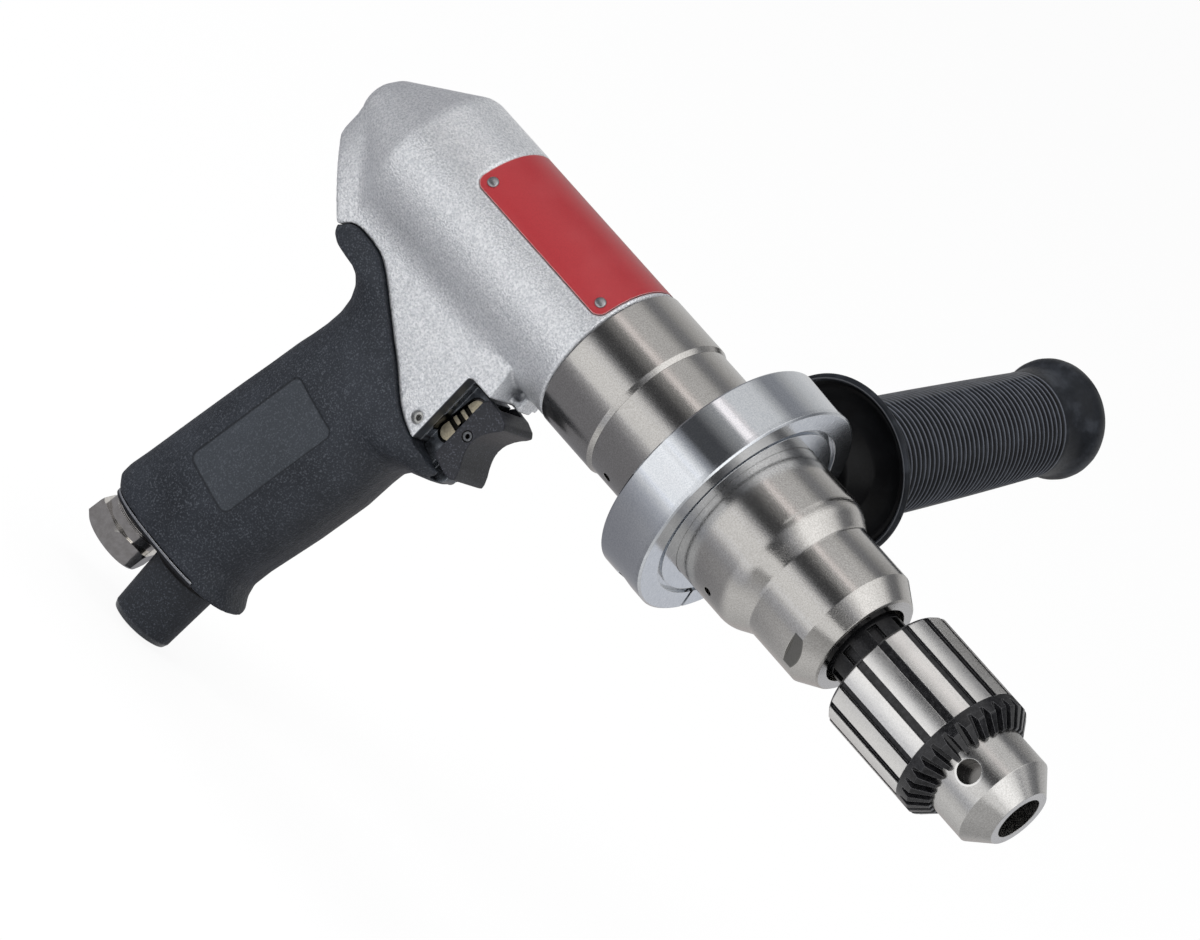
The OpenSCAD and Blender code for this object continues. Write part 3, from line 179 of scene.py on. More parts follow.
# Materials
class Mat:
    """A Principled material with short helpers. Object coordinates are the part's own frame at rest."""

    def __init__(self, name):
        self.material = bpy.data.materials.new(name)
        self.material.use_nodes = True
        self.tree = self.material.node_tree
        self.shader = self.tree.nodes["Principled BSDF"]
        self.place = self.new("ShaderNodeTexCoord").outputs["Object"]
        self.split = None

    def new(self, kind):
        """A new node of this material."""
        return self.tree.nodes.new(kind)

    def put(self, socket, value):
        """Feeds a socket from another socket, or sets its number or colour."""
        if isinstance(value, bpy.types.NodeSocket):
            self.tree.links.new(value, socket)
        elif isinstance(value, tuple) and len(value) == 3 and socket.type == "RGBA":
            socket.default_value = (*value, 1)
        else:
            socket.default_value = value

    def set(self, **values):
        """Sets inputs of the Principled shader, with _ for a space in their names."""
        for name, value in values.items():
            self.put(self.shader.inputs[name.replace("_", " ")], value)

    def was(self, name):
        """The socket that feeds an input now."""
        return self.shader.inputs[name].links[0].from_socket

    def math(self, operation, a, b=0.0, c=0.0):
        """The result of a Math node."""
        node = self.new("ShaderNodeMath")
        node.operation = operation
        for socket, value in zip(node.inputs, (a, b, c)):
            self.put(socket, value)
        return node.outputs[0]

    def add(self, a, b):
        return self.math("ADD", a, b)

    def mul(self, a, b):
        return self.math("MULTIPLY", a, b)

    def unsigned(self, a):
        """A number without its minus sign."""
        return self.math("ABSOLUTE", a)

    def most(self, *values):
        """The highest of some numbers."""
        top = values[0]
        for value in values[1:]:
            top = self.math("MAXIMUM", top, value)
        return top

    def parts(self, vector):
        """X, Y and Z of a vector."""
        node = self.new("ShaderNodeSeparateXYZ")
        self.put(node.inputs[0], vector)
        return node.outputs

    def normal(self):
        """The surface's own direction."""
        return self.new("ShaderNodeNewGeometry").outputs["Normal"]

    def axes(self):
        """X, Y and Z in millimetres."""
        if self.split is None:
            self.split = [self.mul(part, 1 / MM) for part in self.parts(self.place)]
        return self.split

    def length(self, a, b):
        """Length of the long side of a right triangle, from its two short sides."""
        return self.math("SQRT", self.add(self.mul(a, a), self.mul(b, b)))

    def radius(self):
        """Distance from the spindle in millimetres."""
        return self.length(self.axes()[1], self.axes()[2])

    def turn(self):
        """Angle round the spindle in radians."""
        return self.math("ARCTAN2", self.axes()[2], self.axes()[1])

    def near(self, x0, y0, z0):
        """Distance from a point in millimetres."""
        x, y, z = self.axes()
        flat = self.length(self.add(x, -x0), self.add(y, -y0))
        return self.length(flat, self.add(z, -z0))

    def outward(self, degrees):
        """Places along and across a line that leaves the spindle at an angle above +Y."""
        turn = math.radians(degrees)
        y, z = self.axes()[1:]
        along = self.add(self.mul(y, math.cos(turn)), self.mul(z, math.sin(turn)))
        across = self.add(self.mul(y, -math.sin(turn)), self.mul(z, math.cos(turn)))
        return along, across

    def leaning(self, x0, z0, degrees):
        """Places along and across an upright line through a point in XZ that leans towards +X."""
        lean = math.radians(degrees)
        x, z = self.axes()[::2]
        dx, dz = self.add(x, -x0), self.add(z, -z0)
        along = self.add(self.mul(dz, math.cos(lean)), self.mul(dx, math.sin(lean)))
        across = self.add(self.mul(dx, math.cos(lean)), self.mul(dz, -math.sin(lean)))
        return along, across

    def join(self, x=0.0, y=0.0, z=0.0):
        """A vector from three numbers."""
        node = self.new("ShaderNodeCombineXYZ")
        for socket, value in zip(node.inputs, (x, y, z)):
            self.put(socket, value)
        return node.outputs[0]

    def noise(self, size, detail=3.0, rough=0.55, vector=None):
        """Noise whose features are about size millimetres across."""
        node = self.new("ShaderNodeTexNoise")
        self.put(node.inputs["Vector"], self.place if vector is None else vector)
        node.inputs["Scale"].default_value = 1 / (size * MM) if vector is None else 1 / size
        node.inputs["Detail"].default_value = detail
        node.inputs["Roughness"].default_value = rough
        return node.outputs["Fac"]

    def cells(self, size):
        """Distance to the nearest of scattered points, about size millimetres apart."""
        node = self.new("ShaderNodeTexVoronoi")
        self.put(node.inputs["Vector"], self.place)
        node.inputs["Scale"].default_value = 1 / (size * MM)
        return node.outputs["Distance"]

    def ramp(self, value, low, high, first=0.0, last=1.0, soft=False):
        """Goes from first to last while value goes from low to high."""
        node = self.new("ShaderNodeMapRange")
        node.interpolation_type = "SMOOTHSTEP" if soft else "LINEAR"
        for socket, given in zip(node.inputs, (value, low, high, first, last)):
            self.put(socket, given)
        return node.outputs[0]

    def above(self, value, edge, soft=0.1):
        """1 where value is above the edge."""
        return self.ramp(value, edge - soft, edge + soft, soft=True)

    def below(self, value, edge, soft=0.1):
        """1 where value is below the edge."""
        return self.ramp(value, edge - soft, edge + soft, 1.0, 0.0, soft=True)

    def between(self, value, low, high, soft=0.1):
        """1 where value is between low and high."""
        return self.mul(self.above(value, low, soft), self.below(value, high, soft))

    def mix(self, share, a, b):
        """A colour between a and b."""
        node = self.new("ShaderNodeMix")
        node.data_type = "RGBA"
        self.put(node.inputs[0], share)
        self.put(node.inputs[6], a)
        self.put(node.inputs[7], b)
        return node.outputs[2]

    def mix_value(self, share, a, b):
        """A number between a and b."""
        return self.add(a, self.mul(share, self.math("SUBTRACT", b, a)))

    def bump(self, height, strength=0.3, deep=0.05, normal=None):
        """A normal bent by a height, where a height of 1 is deep millimetres."""
        node = self.new("ShaderNodeBump")
        node.inputs["Strength"].default_value = strength
        node.inputs["Distance"].default_value = deep * MM
        self.put(node.inputs["Height"], height)
        if normal is not None:
            self.put(node.inputs["Normal"], normal)
        return node.outputs[0]

    def rounded(self, radius, samples=4):
        """The normal as if every edge had a small radius, in millimetres."""
        node = self.new("ShaderNodeBevel")
        node.samples = samples
        node.inputs["Radius"].default_value = radius * MM
        return node.outputs[0]

    def edge(self, radius, samples=4):
        """Near 1 on edges."""
        node = self.new("ShaderNodeVectorMath")
        node.operation = "DOT_PRODUCT"
        self.put(node.inputs[0], self.rounded(radius, samples))
        self.put(node.inputs[1], self.normal())
        return self.ramp(node.outputs["Value"], 0.99, 0.8)

    def hollow(self, reach, start=0.55):
        """Near 1 deep in holes and grooves."""
        node = self.new("ShaderNodeAmbientOcclusion")
        node.samples = 6
        node.inputs["Distance"].default_value = reach * MM
        return self.ramp(node.outputs["AO"], start, start * 0.35)

    def scratches(self, size, amount, vector=None):
        """Sparse fine marks: thin slices of a stretched noise."""
        slices = self.between(self.noise(size, 2, 0.6, vector), 0.5, 0.5 + amount, amount * 0.4)
        return self.mul(slices, self.above(self.noise(6.0, 1), 0.52, 0.08))


def cast_silver():
    """Peened, lacquered casting: bright flecks on satin grey, with painted shade in its valleys and
    hollows. The pocket behind the trigger is unlacquered; its rear wall is painted dark as shade, with a
    paler band beside the throttle block.
    """
    m = Mat("cast_silver")
    x, y, z = m.axes()
    grain = m.noise(0.55, 2, 0.6)
    fleck = m.cells(0.5)
    shade = m.noise(9.0, 3, 0.5)
    base = m.mix(m.ramp(grain, 0.34, 0.66), (0.60, 0.62, 0.65), (0.97, 0.98, 1.0))
    base = m.mix(m.ramp(shade, 0.35, 0.65, 0.0, 0.10), base, (0.60, 0.63, 0.67))
    # Painted shade: darker in the wide valleys, and darker still in small hollows and creases
    base = m.mix(m.mul(m.hollow(9.0, 0.86), 0.45), base, (0.20, 0.21, 0.225))
    base = m.mix(m.mul(m.hollow(1.6, 0.42), 0.75), base, (0.10, 0.105, 0.11))
    forward = m.above(m.parts(m.normal())[0], 0.6, 0.1)
    wall = m.mul(m.between(x, POCKET_X - 0.7, POCKET_X + 0.7, 0.2), forward)
    wall = m.mul(wall, m.below(z, POCKET_TOP - 0.2, 0.2))
    # Painted shade: the pocket's rear wall is painted dark, with a paler band beside the throttle block
    wall_shade_tone = m.mix(shade, (0.07, 0.075, 0.085), (0.15, 0.16, 0.175))
    streak = m.between(m.unsigned(y), THROTTLE_HALF_W, THROTTLE_HALF_W + 0.8, 0.3)
    shaded_wall = m.mix(m.mul(streak, 0.8), wall_shade_tone, (0.55, 0.57, 0.60))
    rough = m.ramp(fleck, 0.0, 0.9, 0.30, 0.50)
    height = m.mul(m.add(m.mul(grain, 0.8), m.mul(fleck, 0.5)), m.ramp(wall, 0.0, 1.0, 1.0, 0.1))
    m.set(Base_Color=m.mix(wall, base, shaded_wall), Metallic=0.85, Roughness=rough)
    m.set(Normal=m.bump(height, 0.85, 0.20))
    return m


def badge_distance(m):
    """Distance from the badge panel's outline, below zero inside it and large on the grip's far side."""
    along, across = m.leaning(BADGE_X, BADGE_Z, BADGE_LEAN)
    u = m.add(m.unsigned(along), BADGE_ROUND - BADGE_HALF_L)
    v = m.add(m.unsigned(across), BADGE_ROUND - BADGE_HALF_W)
    outside = m.length(m.most(u, 0.0), m.most(v, 0.0))
    inside = m.math("MINIMUM", m.most(u, v), 0.0)
    well_away = 50.0
    far_side = m.mul(m.above(m.axes()[1], GRIP_FAR_Y, 1.0), well_away)
    return m.add(m.add(m.add(outside, inside), -BADGE_ROUND), far_side)


def grip_rubber():
    """Fine pebbled rubber with paler specks and edges painted paler as highlights; the badge panel is
    smoother inside a dark line that is painted shade along its sunk edge.
    """
    m = Mat("grip_rubber")
    grain = m.noise(0.6, 3, 0.6)
    pebble = m.cells(0.75)
    speck = m.above(m.noise(0.47, 2, 0.6), 0.6, 0.1)
    shade = m.noise(14.0, 2, 0.5)
    edge_highlight = m.edge(1.0)
    panel = badge_distance(m)
    base = m.mix(m.ramp(shade, 0.3, 0.7), (0.011, 0.013, 0.017), (0.018, 0.021, 0.027))
    base = m.mix(m.mul(speck, 0.35), base, (0.11, 0.12, 0.14))
    # Painted highlight: the edges are paler
    base = m.mix(m.mul(edge_highlight, 0.25), base, (0.10, 0.11, 0.125))
    base = m.mix(m.mul(m.below(panel, 0.0, 0.2), 0.35), base, (0.050, 0.057, 0.066))
    # Painted shade: a dark line along the sunk edge of the badge panel
    base = m.mix(m.mul(m.between(panel, -0.25, 0.25, 0.15), 0.7), base, (0.006, 0.007, 0.009))
    smooth = m.below(panel, -0.2, 0.2)
    rough = m.add(m.ramp(grain, 0.3, 0.7, 0.34, 0.52), m.mul(smooth, 0.06))
    height = m.mul(m.add(m.mul(grain, 0.7), m.mul(pebble, 0.6)), m.ramp(smooth, 0.0, 1.0, 1.0, 0.55))
    m.set(Base_Color=base, Roughness=rough, IOR=1.34)
    m.set(Normal=m.bump(height, 0.9, 0.2))
    return m


def handle_rubber():
    """Soft black rubber: rib crests painted pale as highlights, and the grooves and the dish painted black
    as shade.
    """
    m = Mat("handle_rubber")
    out, across = m.outward(HANDLE_TURN)
    s = m.add(out, -FLANGE_AT)
    r = m.length(across, m.add(m.axes()[0], -RING_MID))
    grain = m.noise(0.6, 3, 0.6)
    smear = m.noise(6.0, 4, 0.6)
    depth = m.add(m.ramp(s, 0.0, RIB_TO, HANDLE_R, HANDLE_END_R), m.mul(r, -1.0))
    ribbed = m.between(s, RIB_FROM - 0.3, RIB_TO + 0.3, 0.3)
    wave = m.math("COSINE", m.mul(m.add(s, -RIB_FROM), 2 * math.pi / RIB_PITCH))
    groove = m.mul(m.mul(m.above(wave, 0.15, 0.4), m.above(depth, 0.12, 0.12)), ribbed)
    crest_highlight = m.mul(m.mul(m.below(wave, -0.72, 0.2), m.below(depth, 0.3, 0.15)), ribbed)
    base = m.mix(m.ramp(smear, 0.3, 0.7), (0.006, 0.007, 0.009), (0.014, 0.016, 0.020))
    base = m.mix(m.mul(m.ramp(smear, 0.5, 0.7), 0.35), base, (0.045, 0.05, 0.06))
    # Painted highlight along the rib crests
    base = m.mix(m.mul(crest_highlight, 0.6), base, (0.12, 0.13, 0.155))
    face = m.below(s, FLANGE_FACE, 0.2)
    dish = m.mul(face, m.below(r, FLANGE_DISH_R, 0.15))
    line = m.mul(face, m.between(r, FLANGE_LINE_R - 0.2, FLANGE_LINE_R + 0.2, 0.12))
    # Painted shade: black in the rib grooves and in the flange's dish
    base = m.mix(m.mul(m.most(groove, dish), 0.92), base, (0.0012, 0.0012, 0.0014))
    base = m.mix(m.mul(line, 0.5), base, (0.16, 0.165, 0.18))
    m.set(Base_Color=base, Roughness=m.ramp(grain, 0.3, 0.7, 0.34, 0.5), IOR=1.26)
    m.set(Normal=m.bump(m.add(m.mul(grain, 0.6), m.mul(smear, 0.8)), 0.35, 0.12))
    return m


def plate_red():
    """Printed aluminium plate: red lacquer, a fine print grain and a pale rim that is a painted highlight.
    """
    m = Mat("plate_red")
    print_grain = m.noise(0.3, 2, 0.6)
    smear = m.noise(11.0, 3, 0.6)
    base = m.mix(m.ramp(print_grain, 0.3, 0.7), (0.215, 0.007, 0.011), (0.27, 0.013, 0.018))
    base = m.mix(m.ramp(smear, 0.45, 0.75, 0.0, 0.14), base, (0.34, 0.06, 0.065))
    # Painted highlight: pale along the plate's edges
    base = m.mix(m.mul(m.edge(0.35, 6), 0.7), base, (0.62, 0.50, 0.50))
    m.set(Base_Color=base, Roughness=m.ramp(smear, 0.3, 0.7, 0.34, 0.46))
    m.set(Coat_Weight=0.12, Coat_Roughness=0.25)
    m.set(Normal=m.bump(print_grain, 0.10, 0.04, m.rounded(0.25)))
    return m


def turned_metal(name, light, dark, rough, grain_bump, edge_r=0.3, lines=0.0, hollow_shade=0.8):
    """Metal turned about the spindle, with fine grain and faint lathe lines, painted shade in its hollows
    and painted highlights on its edges.
    """
    m = Mat(name)
    along = m.mul(m.axes()[0], 5.0)
    round_it = m.mul(m.turn(), 0.8)
    outward = m.mul(m.radius(), 5.0)
    grain = m.noise(0.38, 2, 0.6)
    smear = m.noise(12.0, 4, 0.6)
    lathe = m.noise(1.0, 2, 0.6, m.join(along, round_it, outward))
    base = m.mix(m.ramp(grain, 0.34, 0.66), dark, light)
    base = m.mix(m.ramp(smear, 0.5, 0.8, 0.0, 0.15), base, tuple(0.8 * c for c in dark))
    # Painted shade in hollows and grooves
    base = m.mix(m.mul(m.hollow(1.5, 0.5), hollow_shade), base, (0.025, 0.024, 0.023))
    # Painted highlight on the edges
    base = m.mix(m.mul(m.edge(edge_r), 0.6), base, tuple(min(1.0, 1.25 * c + 0.1) for c in light))
    both = m.add(m.mul(smear, 0.5), m.mul(grain, 0.5))
    m.set(Base_Color=base, Metallic=1.0, Roughness=m.ramp(both, 0.35, 0.65, *rough))
    height = m.add(grain, m.mul(lathe, lines))
    m.set(Normal=m.bump(height, grain_bump, 0.05, m.rounded(edge_r)))
    return m


def case_metal():
    """Ground steel of the gear cases and the nose; the wrench flats are darkened as a painted reflection.
    """
    m = turned_metal("case_steel", (0.60, 0.585, 0.565), (0.46, 0.445, 0.425), rough=(0.13, 0.20),
                     grain_bump=0.28, edge_r=0.25, lines=0.15)
    out, across = m.outward(FLAT_TURN)
    flat = m.between(m.unsigned(out), FLAT_R - 0.12, FLAT_R + 0.10, 0.04)
    flat = m.mul(flat, m.between(m.axes()[0], FLAT_REAR, FLAT_FRONT, 0.1))
    flat = m.mul(flat, m.below(m.unsigned(across), FLAT_HALF_W, 0.3))
    # Painted reflection: the wrench flats darkened
    m.set(Base_Color=m.mix(m.mul(flat, 0.8), m.was("Base Color"), (0.07, 0.07, 0.066)))
    return m


def ring_metal():
    """Bright drawn aluminium: scratches along its rim, coarse turning and cross marks on its face."""
    m = turned_metal("ring_alloy", (0.80, 0.82, 0.85), (0.64, 0.67, 0.71), rough=(0.04, 0.10),
                     grain_bump=0.10, edge_r=0.25, lines=0.4, hollow_shade=0.5)
    x, y, z = m.axes()
    face = m.above(x, RING_FRONT - RING_FACE, 0.3)
    rim_marks = m.scratches(1.0, 0.012, m.join(m.mul(x, 0.8), m.mul(y, 6.0), m.mul(z, 6.0)))
    fine = m.mul(m.add(y, m.mul(z, 0.6)), 4.0)
    long = m.mul(m.add(z, m.mul(y, -0.6)), 0.3)
    face_marks = m.ramp(m.noise(1.0, 3, 0.7, m.join(0.0, fine, long)), 0.35, 0.65)
    base = m.mix(m.mul(rim_marks, 0.8), m.was("Base Color"), (0.95, 0.95, 0.95))
    base = m.mix(m.mul(m.mul(face, face_marks), 0.45), base, (0.42, 0.44, 0.47))
    m.set(Base_Color=base)
    m.set(Roughness=m.add(m.was("Roughness"), m.mul(face, 0.10)))
    return m


def chuck_sleeve_metal():
    """Ground lands, black flutes, black rear edge, black band and black toothed bevel; painted highlights
    on the black edges and painted shade in its hollows.
    """
    m = turned_metal("sleeve_steel", (0.90, 0.885, 0.865), (0.74, 0.73, 0.715), rough=(0.24, 0.36),
                     grain_bump=0.12, edge_r=0.2, lines=1.0, hollow_shade=0.0)
    x = m.axes()[0]
    flute = m.below(m.radius(), SLEEVE_R - 0.2, 0.08)
    rear = m.below(x, SLEEVE_REAR + SLEEVE_EDGE_L, 0.2)
    front = m.above(x, SLEEVE_FRONT - SLEEVE_BAND_L, 0.15)
    black = m.most(flute, rear, front)
    wear = m.noise(1.1, 3, 0.6)
    dark = m.mix(m.ramp(wear, 0.4, 0.7), (0.006, 0.006, 0.007), (0.018, 0.018, 0.020))
    # Painted highlight on the black edges
    dark = m.mix(m.mul(m.edge(0.3), 0.5), dark, (0.20, 0.20, 0.21))
    # Painted shade in the hollows
    dark = m.mix(m.mul(m.hollow(1.3, 0.62), 0.8), dark, (0.002, 0.002, 0.002))
    m.set(Base_Color=m.mix(black, m.was("Base Color"), dark))
    m.set(Metallic=m.ramp(black, 0.0, 1.0, 1.0, 0.25))
    m.set(Roughness=m.mix_value(black, m.was("Roughness"), 0.2))
    return m


def key_hole_place(r):
    """A point on the axis of the key hole that faces the camera, at a distance from the spindle."""
    return KEY_HOLE_X, r * math.cos(KEY_HOLE_TURN), r * math.sin(KEY_HOLE_TURN)


def chuck_body_metal():
    """Ground nose with the key hole and the bore painted dark as shade, and a painted highlight on the
    hole's rim.
    """
    m = turned_metal("chuck_steel", (0.66, 0.65, 0.635), (0.50, 0.49, 0.475), rough=(0.17, 0.28),
                     grain_bump=0.10, edge_r=0.25, lines=1.6, hollow_shade=0.9)
    r = m.radius()
    bore = m.below(r, CHUCK_BORE_R, 0.1)
    half_way = key_hole_place(CHUCK_NOSE_R - KEY_HOLE_DEPTH / 2)
    hole = m.below(m.near(*half_way), KEY_HOLE_REACH, 0.1)
    hole = m.mul(hole, m.below(r, CHUCK_NOSE_R - 0.5, 0.15))
    to_mouth = m.near(*key_hole_place(CHUCK_NOSE_R - 0.1))
    rim = m.between(to_mouth, KEY_HOLE_R - 0.05, KEY_HOLE_R + 0.55, 0.12)
    rim = m.mul(rim, m.above(r, CHUCK_NOSE_R - 0.6, 0.1))
    # Painted shade in the bore and the key hole
    base = m.mix(m.mul(bore, 0.5), m.was("Base Color"), (0.10, 0.10, 0.10))
    base = m.mix(m.mul(hole, 0.75), base, (0.07, 0.065, 0.06))
    # Painted highlight round the key hole's rim
    m.set(Base_Color=m.mix(m.mul(rim, 0.7), base, (0.95, 0.94, 0.92)))
    return m


def plain_metal(name, light, dark, rough=(0.22, 0.38), edge_r=0.25, metallic=1.0, size=0.5, bump=0.15):
    """Metal with a fine grain, painted shade in its hollows and painted highlights on its edges."""
    m = Mat(name)
    grain = m.noise(size, 3, 0.6)
    smear = m.noise(8.0, 4, 0.6)
    base = m.mix(m.ramp(grain, 0.35, 0.65), dark, light)
    # Painted shade in hollows
    base = m.mix(m.mul(m.hollow(1.2, 0.5), 0.7), base, tuple(0.12 * c for c in dark))
    # Painted highlight on the edges
    base = m.mix(m.mul(m.edge(edge_r), 0.6), base, tuple(min(1.0, c * 1.5 + 0.12) for c in light))
    m.set(Base_Color=base, Metallic=metallic, Roughness=m.ramp(smear, 0.3, 0.7, *rough))
    m.set(Normal=m.bump(grain, bump, 0.05, m.rounded(edge_r)))
    return m


def black_plastic(name, base=(0.017, 0.018, 0.021), rough=(0.40, 0.56), bump=0.35):
    """Black plastic with paler specks, and edges painted paler as highlights."""
    m = Mat(name)
    grain = m.noise(0.45, 3, 0.6)
    speck = m.above(m.noise(0.47, 2, 0.6), 0.62, 0.1)
    colour = m.mix(m.mul(speck, 0.35), base, tuple(c * 7 for c in base))
    # Painted highlight on the edges
    colour = m.mix(m.mul(m.edge(0.4), 0.35), colour, tuple(c * 5 for c in base))
    m.set(Base_Color=colour, Roughness=m.ramp(grain, 0.3, 0.7, *rough), IOR=1.36)
    m.set(Normal=m.bump(grain, bump, 0.09, m.rounded(0.4)))
    return m


def brass():
    """Pale brass at the reverse bar's end faces and black further in, as its grip grooves are."""
    m = plain_metal("brass", (0.62, 0.56, 0.42), (0.46, 0.40, 0.29), rough=(0.26, 0.42), edge_r=0.2,
                    metallic=0.85, size=0.6, bump=0.2)
    low, high = [corner[1] for corner in box_mm("reverse_bar")]
    from_middle = m.unsigned(m.add(m.axes()[1], -(low + high) / 2))
    inside = m.below(from_middle, (high - low) / 2 - 0.3, 0.12)
    m.set(Base_Color=m.mix(m.mul(inside, 0.97), m.was("Base Color"), (0.004, 0.0035, 0.003)))
    return m


def throttle_metal():
    """Dark machined block with paler tool streaks, and a black line round the reverse bar's window that is
    painted shade.
    """
    m = plain_metal("block_metal", (0.15, 0.165, 0.185), (0.055, 0.06, 0.07), rough=(0.20, 0.34),
                    edge_r=0.45, metallic=0.85, size=2.5, bump=0.2)
    along, across = m.leaning(WINDOW_X, WINDOW_Z, GRIP_LEAN)
    beyond = m.most(m.add(m.unsigned(along), WINDOW_R - WINDOW_H / 2), 0.0)
    line = m.below(m.length(across, beyond), WINDOW_R + 0.28, 0.08)
    # Painted shade round the reverse bar's window
    m.set(Base_Color=m.mix(line, m.was("Base Color"), (0.001, 0.001, 0.001)))
    return m


def muffler_plastic():
    """Pebbled black plastic with a glossy collar under the base plate."""
    m = black_plastic("muffler_plastic", (0.016, 0.018, 0.022), (0.30, 0.46), 0.9)
    z = m.axes()[2]
    collar = m.above(z, MUFFLER_COLLAR_Z, 0.06)
    seam = m.between(z, MUFFLER_COLLAR_Z - 0.35, MUFFLER_COLLAR_Z + 0.05, 0.08)
    base = m.mix(collar, m.was("Base Color"), (0.006, 0.006, 0.007))
    m.set(Base_Color=m.mix(seam, base, (0.001, 0.001, 0.001)))
    m.set(Roughness=m.mix_value(collar, m.was("Roughness"), 0.14))
    return m


def trigger_plastic():
    """Matt black plastic with a dark seam round the pin."""
    m = black_plastic("trigger_black", (0.017, 0.018, 0.022), (0.36, 0.50), 0.6)
    x, y, z = m.axes()
    from_pin = m.length(m.add(x, -PIN_X), m.add(z, -PIN_Z))
    seam = m.between(from_pin, PIN_R - 0.15, PIN_R + 0.32, 0.08)
    seam = m.mul(seam, m.above(m.unsigned(y), TRIGGER_CHEEK_Y, 0.2))
    m.set(Base_Color=m.mix(seam, m.was("Base Color"), (0.0008, 0.0008, 0.0008)))
    return m


def inlet_nickel():
    """Nickel plate with fine thread ridges on the neck, next to the base."""
    m = plain_metal("nickel", (0.80, 0.77, 0.73), (0.66, 0.63, 0.59), rough=(0.06, 0.12), edge_r=0.1,
                    size=1.6, bump=0.08)
    down = m.mul(m.leaning(INLET_X, INLET_Z, INLET_LEAN)[0], -1.0)
    wave = m.math("SINE", m.mul(down, 2 * math.pi / THREAD_PITCH))
    ridges = m.mul(wave, m.between(down, -0.2, THREAD_L, 0.2))
    m.set(Normal=m.bump(ridges, 0.8, 0.12, m.was("Normal")))
    return m


def plate_edge_alloy():
    """Bare base plate: a bright upper arris over an edge in shadow."""
    m = plain_metal("base_alloy", (0.70, 0.72, 0.75), (0.52, 0.54, 0.57), rough=(0.16, 0.28))
    lower = m.below(m.leaning(BASE_X, BASE_Z, BASE_LEAN)[0], -0.62, 0.05)
    m.set(Base_Color=m.mix(m.mul(lower, 0.92), m.was("Base Color"), (0.02, 0.021, 0.024)))
    return m


def felt():
    """Pale felt of the muffler."""
    m = Mat("felt")
    fuzz = m.noise(0.45, 4, 0.7)
    m.set(Base_Color=m.mix(fuzz, (0.62, 0.58, 0.48), (0.84, 0.81, 0.72)), Roughness=0.95)
    m.set(Normal=m.bump(fuzz, 0.6, 0.3))
    return m


def vane_fibre():
    """Brown fibre laminate of the rotor's vanes."""
    m = Mat("vane_fibre")
    x, y, z = m.axes()
    weave = m.noise(1.0, 3, 0.6, m.join(m.mul(x, 0.5), m.mul(y, 3.0), m.mul(z, 3.0)))
    m.set(Base_Color=m.mix(weave, (0.16, 0.08, 0.035), (0.30, 0.17, 0.08)), Roughness=0.6)
    m.set(Normal=m.bump(weave, 0.3, 0.1))
    return m


case_steel = case_metal()
hard = plain_metal("hard_steel", (0.55, 0.55, 0.54), (0.40, 0.40, 0.39))
iron = plain_metal("cast_iron", (0.32, 0.32, 0.33), (0.22, 0.22, 0.23), rough=(0.45, 0.6))
alloy = plain_metal("bare_alloy", (0.82, 0.83, 0.85), (0.62, 0.63, 0.66), rough=(0.16, 0.28))
oxide = plain_metal("black_oxide", (0.022, 0.022, 0.024), (0.010, 0.010, 0.011), rough=(0.20, 0.36),
                    metallic=0.6)
rivet_alloy = plain_metal("rivet_alloy", (0.50, 0.50, 0.51), (0.34, 0.34, 0.35), rough=(0.30, 0.42),
                          edge_r=0.15, size=0.35, bump=0.2)
pin_steel = plain_metal("pin_steel", (0.20, 0.205, 0.215), (0.10, 0.105, 0.115))
spring_steel = plain_metal("spring_steel", (0.42, 0.42, 0.44), (0.28, 0.28, 0.30))
pale_brass = brass()
rubber = grip_rubber()
ribbed_rubber = handle_rubber()
silver = cast_silver()
trigger_black = trigger_plastic()
# The nodes that aren't named here are of hard steel
looks = {
    "pistol_housing": silver,
    "grip_sleeve": rubber,
    "base_plate": plate_edge_alloy(),
    "label_plate": plate_red(),
    "label_rivets": rivet_alloy,
    "rear_gear_case": case_steel,
    "front_gear_case": case_steel,
    "nose_housing": case_steel,
    "clamp_ring": ring_metal(),
    "clamp_screw": oxide,
    "handle_grip": ribbed_rubber,
    "handle_insert": black_plastic("insert_plastic"),
    "chuck_sleeve": chuck_sleeve_metal(),
    "chuck_body": chuck_body_metal(),
    "spindle_collar": oxide,
    "spindle_seal": black_plastic("seal_rubber"),
    "bearing_spacer": alloy,
    "trigger": trigger_black,
    "trigger_pin": pin_steel,
    "throttle_block": throttle_metal(),
    "reverse_bar": pale_brass,
    "valve_seat": pale_brass,
    "valve_stem": pale_brass,
    "valve_plug": pale_brass,
    "inlet_bushing": inlet_nickel(),
    "muffler": muffler_plastic(),
    "muffler_felt": felt(),
    "motor_cylinder": iron,
    "rear_end_plate": iron,
    "front_end_plate": iron,
    "rotor_vanes": vane_fibre(),
}
for name, node in nodes.items():
    node.data.materials.clear()
    node.data.materials.append(looks.get(name, hard).material)


# Finer pieces over the frame
def link(name, data):
    """A new object in the scene, for a mesh, a camera or a lamp."""
    thing = bpy.data.objects.new(name, data)
    scene.collection.objects.link(thing)
    return thing


def mesh_mm(name, verts, faces):
    """A mesh from points in millimetres."""
    mesh = bpy.data.meshes.new(name)
    mesh.from_pydata([tuple(c * MM for c in v) for v in verts], [], faces)
    mesh.validate()
    return mesh


def finish_piece(name, mesh, mat, body, replaced=()):
    """A smooth piece that rides on a body."""
    thing = link(name, mesh)
    mesh.materials.clear()
    mesh.materials.append(mat.material)
    mesh.polygons.foreach_set("use_smooth", [True] * len(mesh.polygons))
    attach(thing, body)
    if replaced:
        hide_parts(*replaced)
    return thing


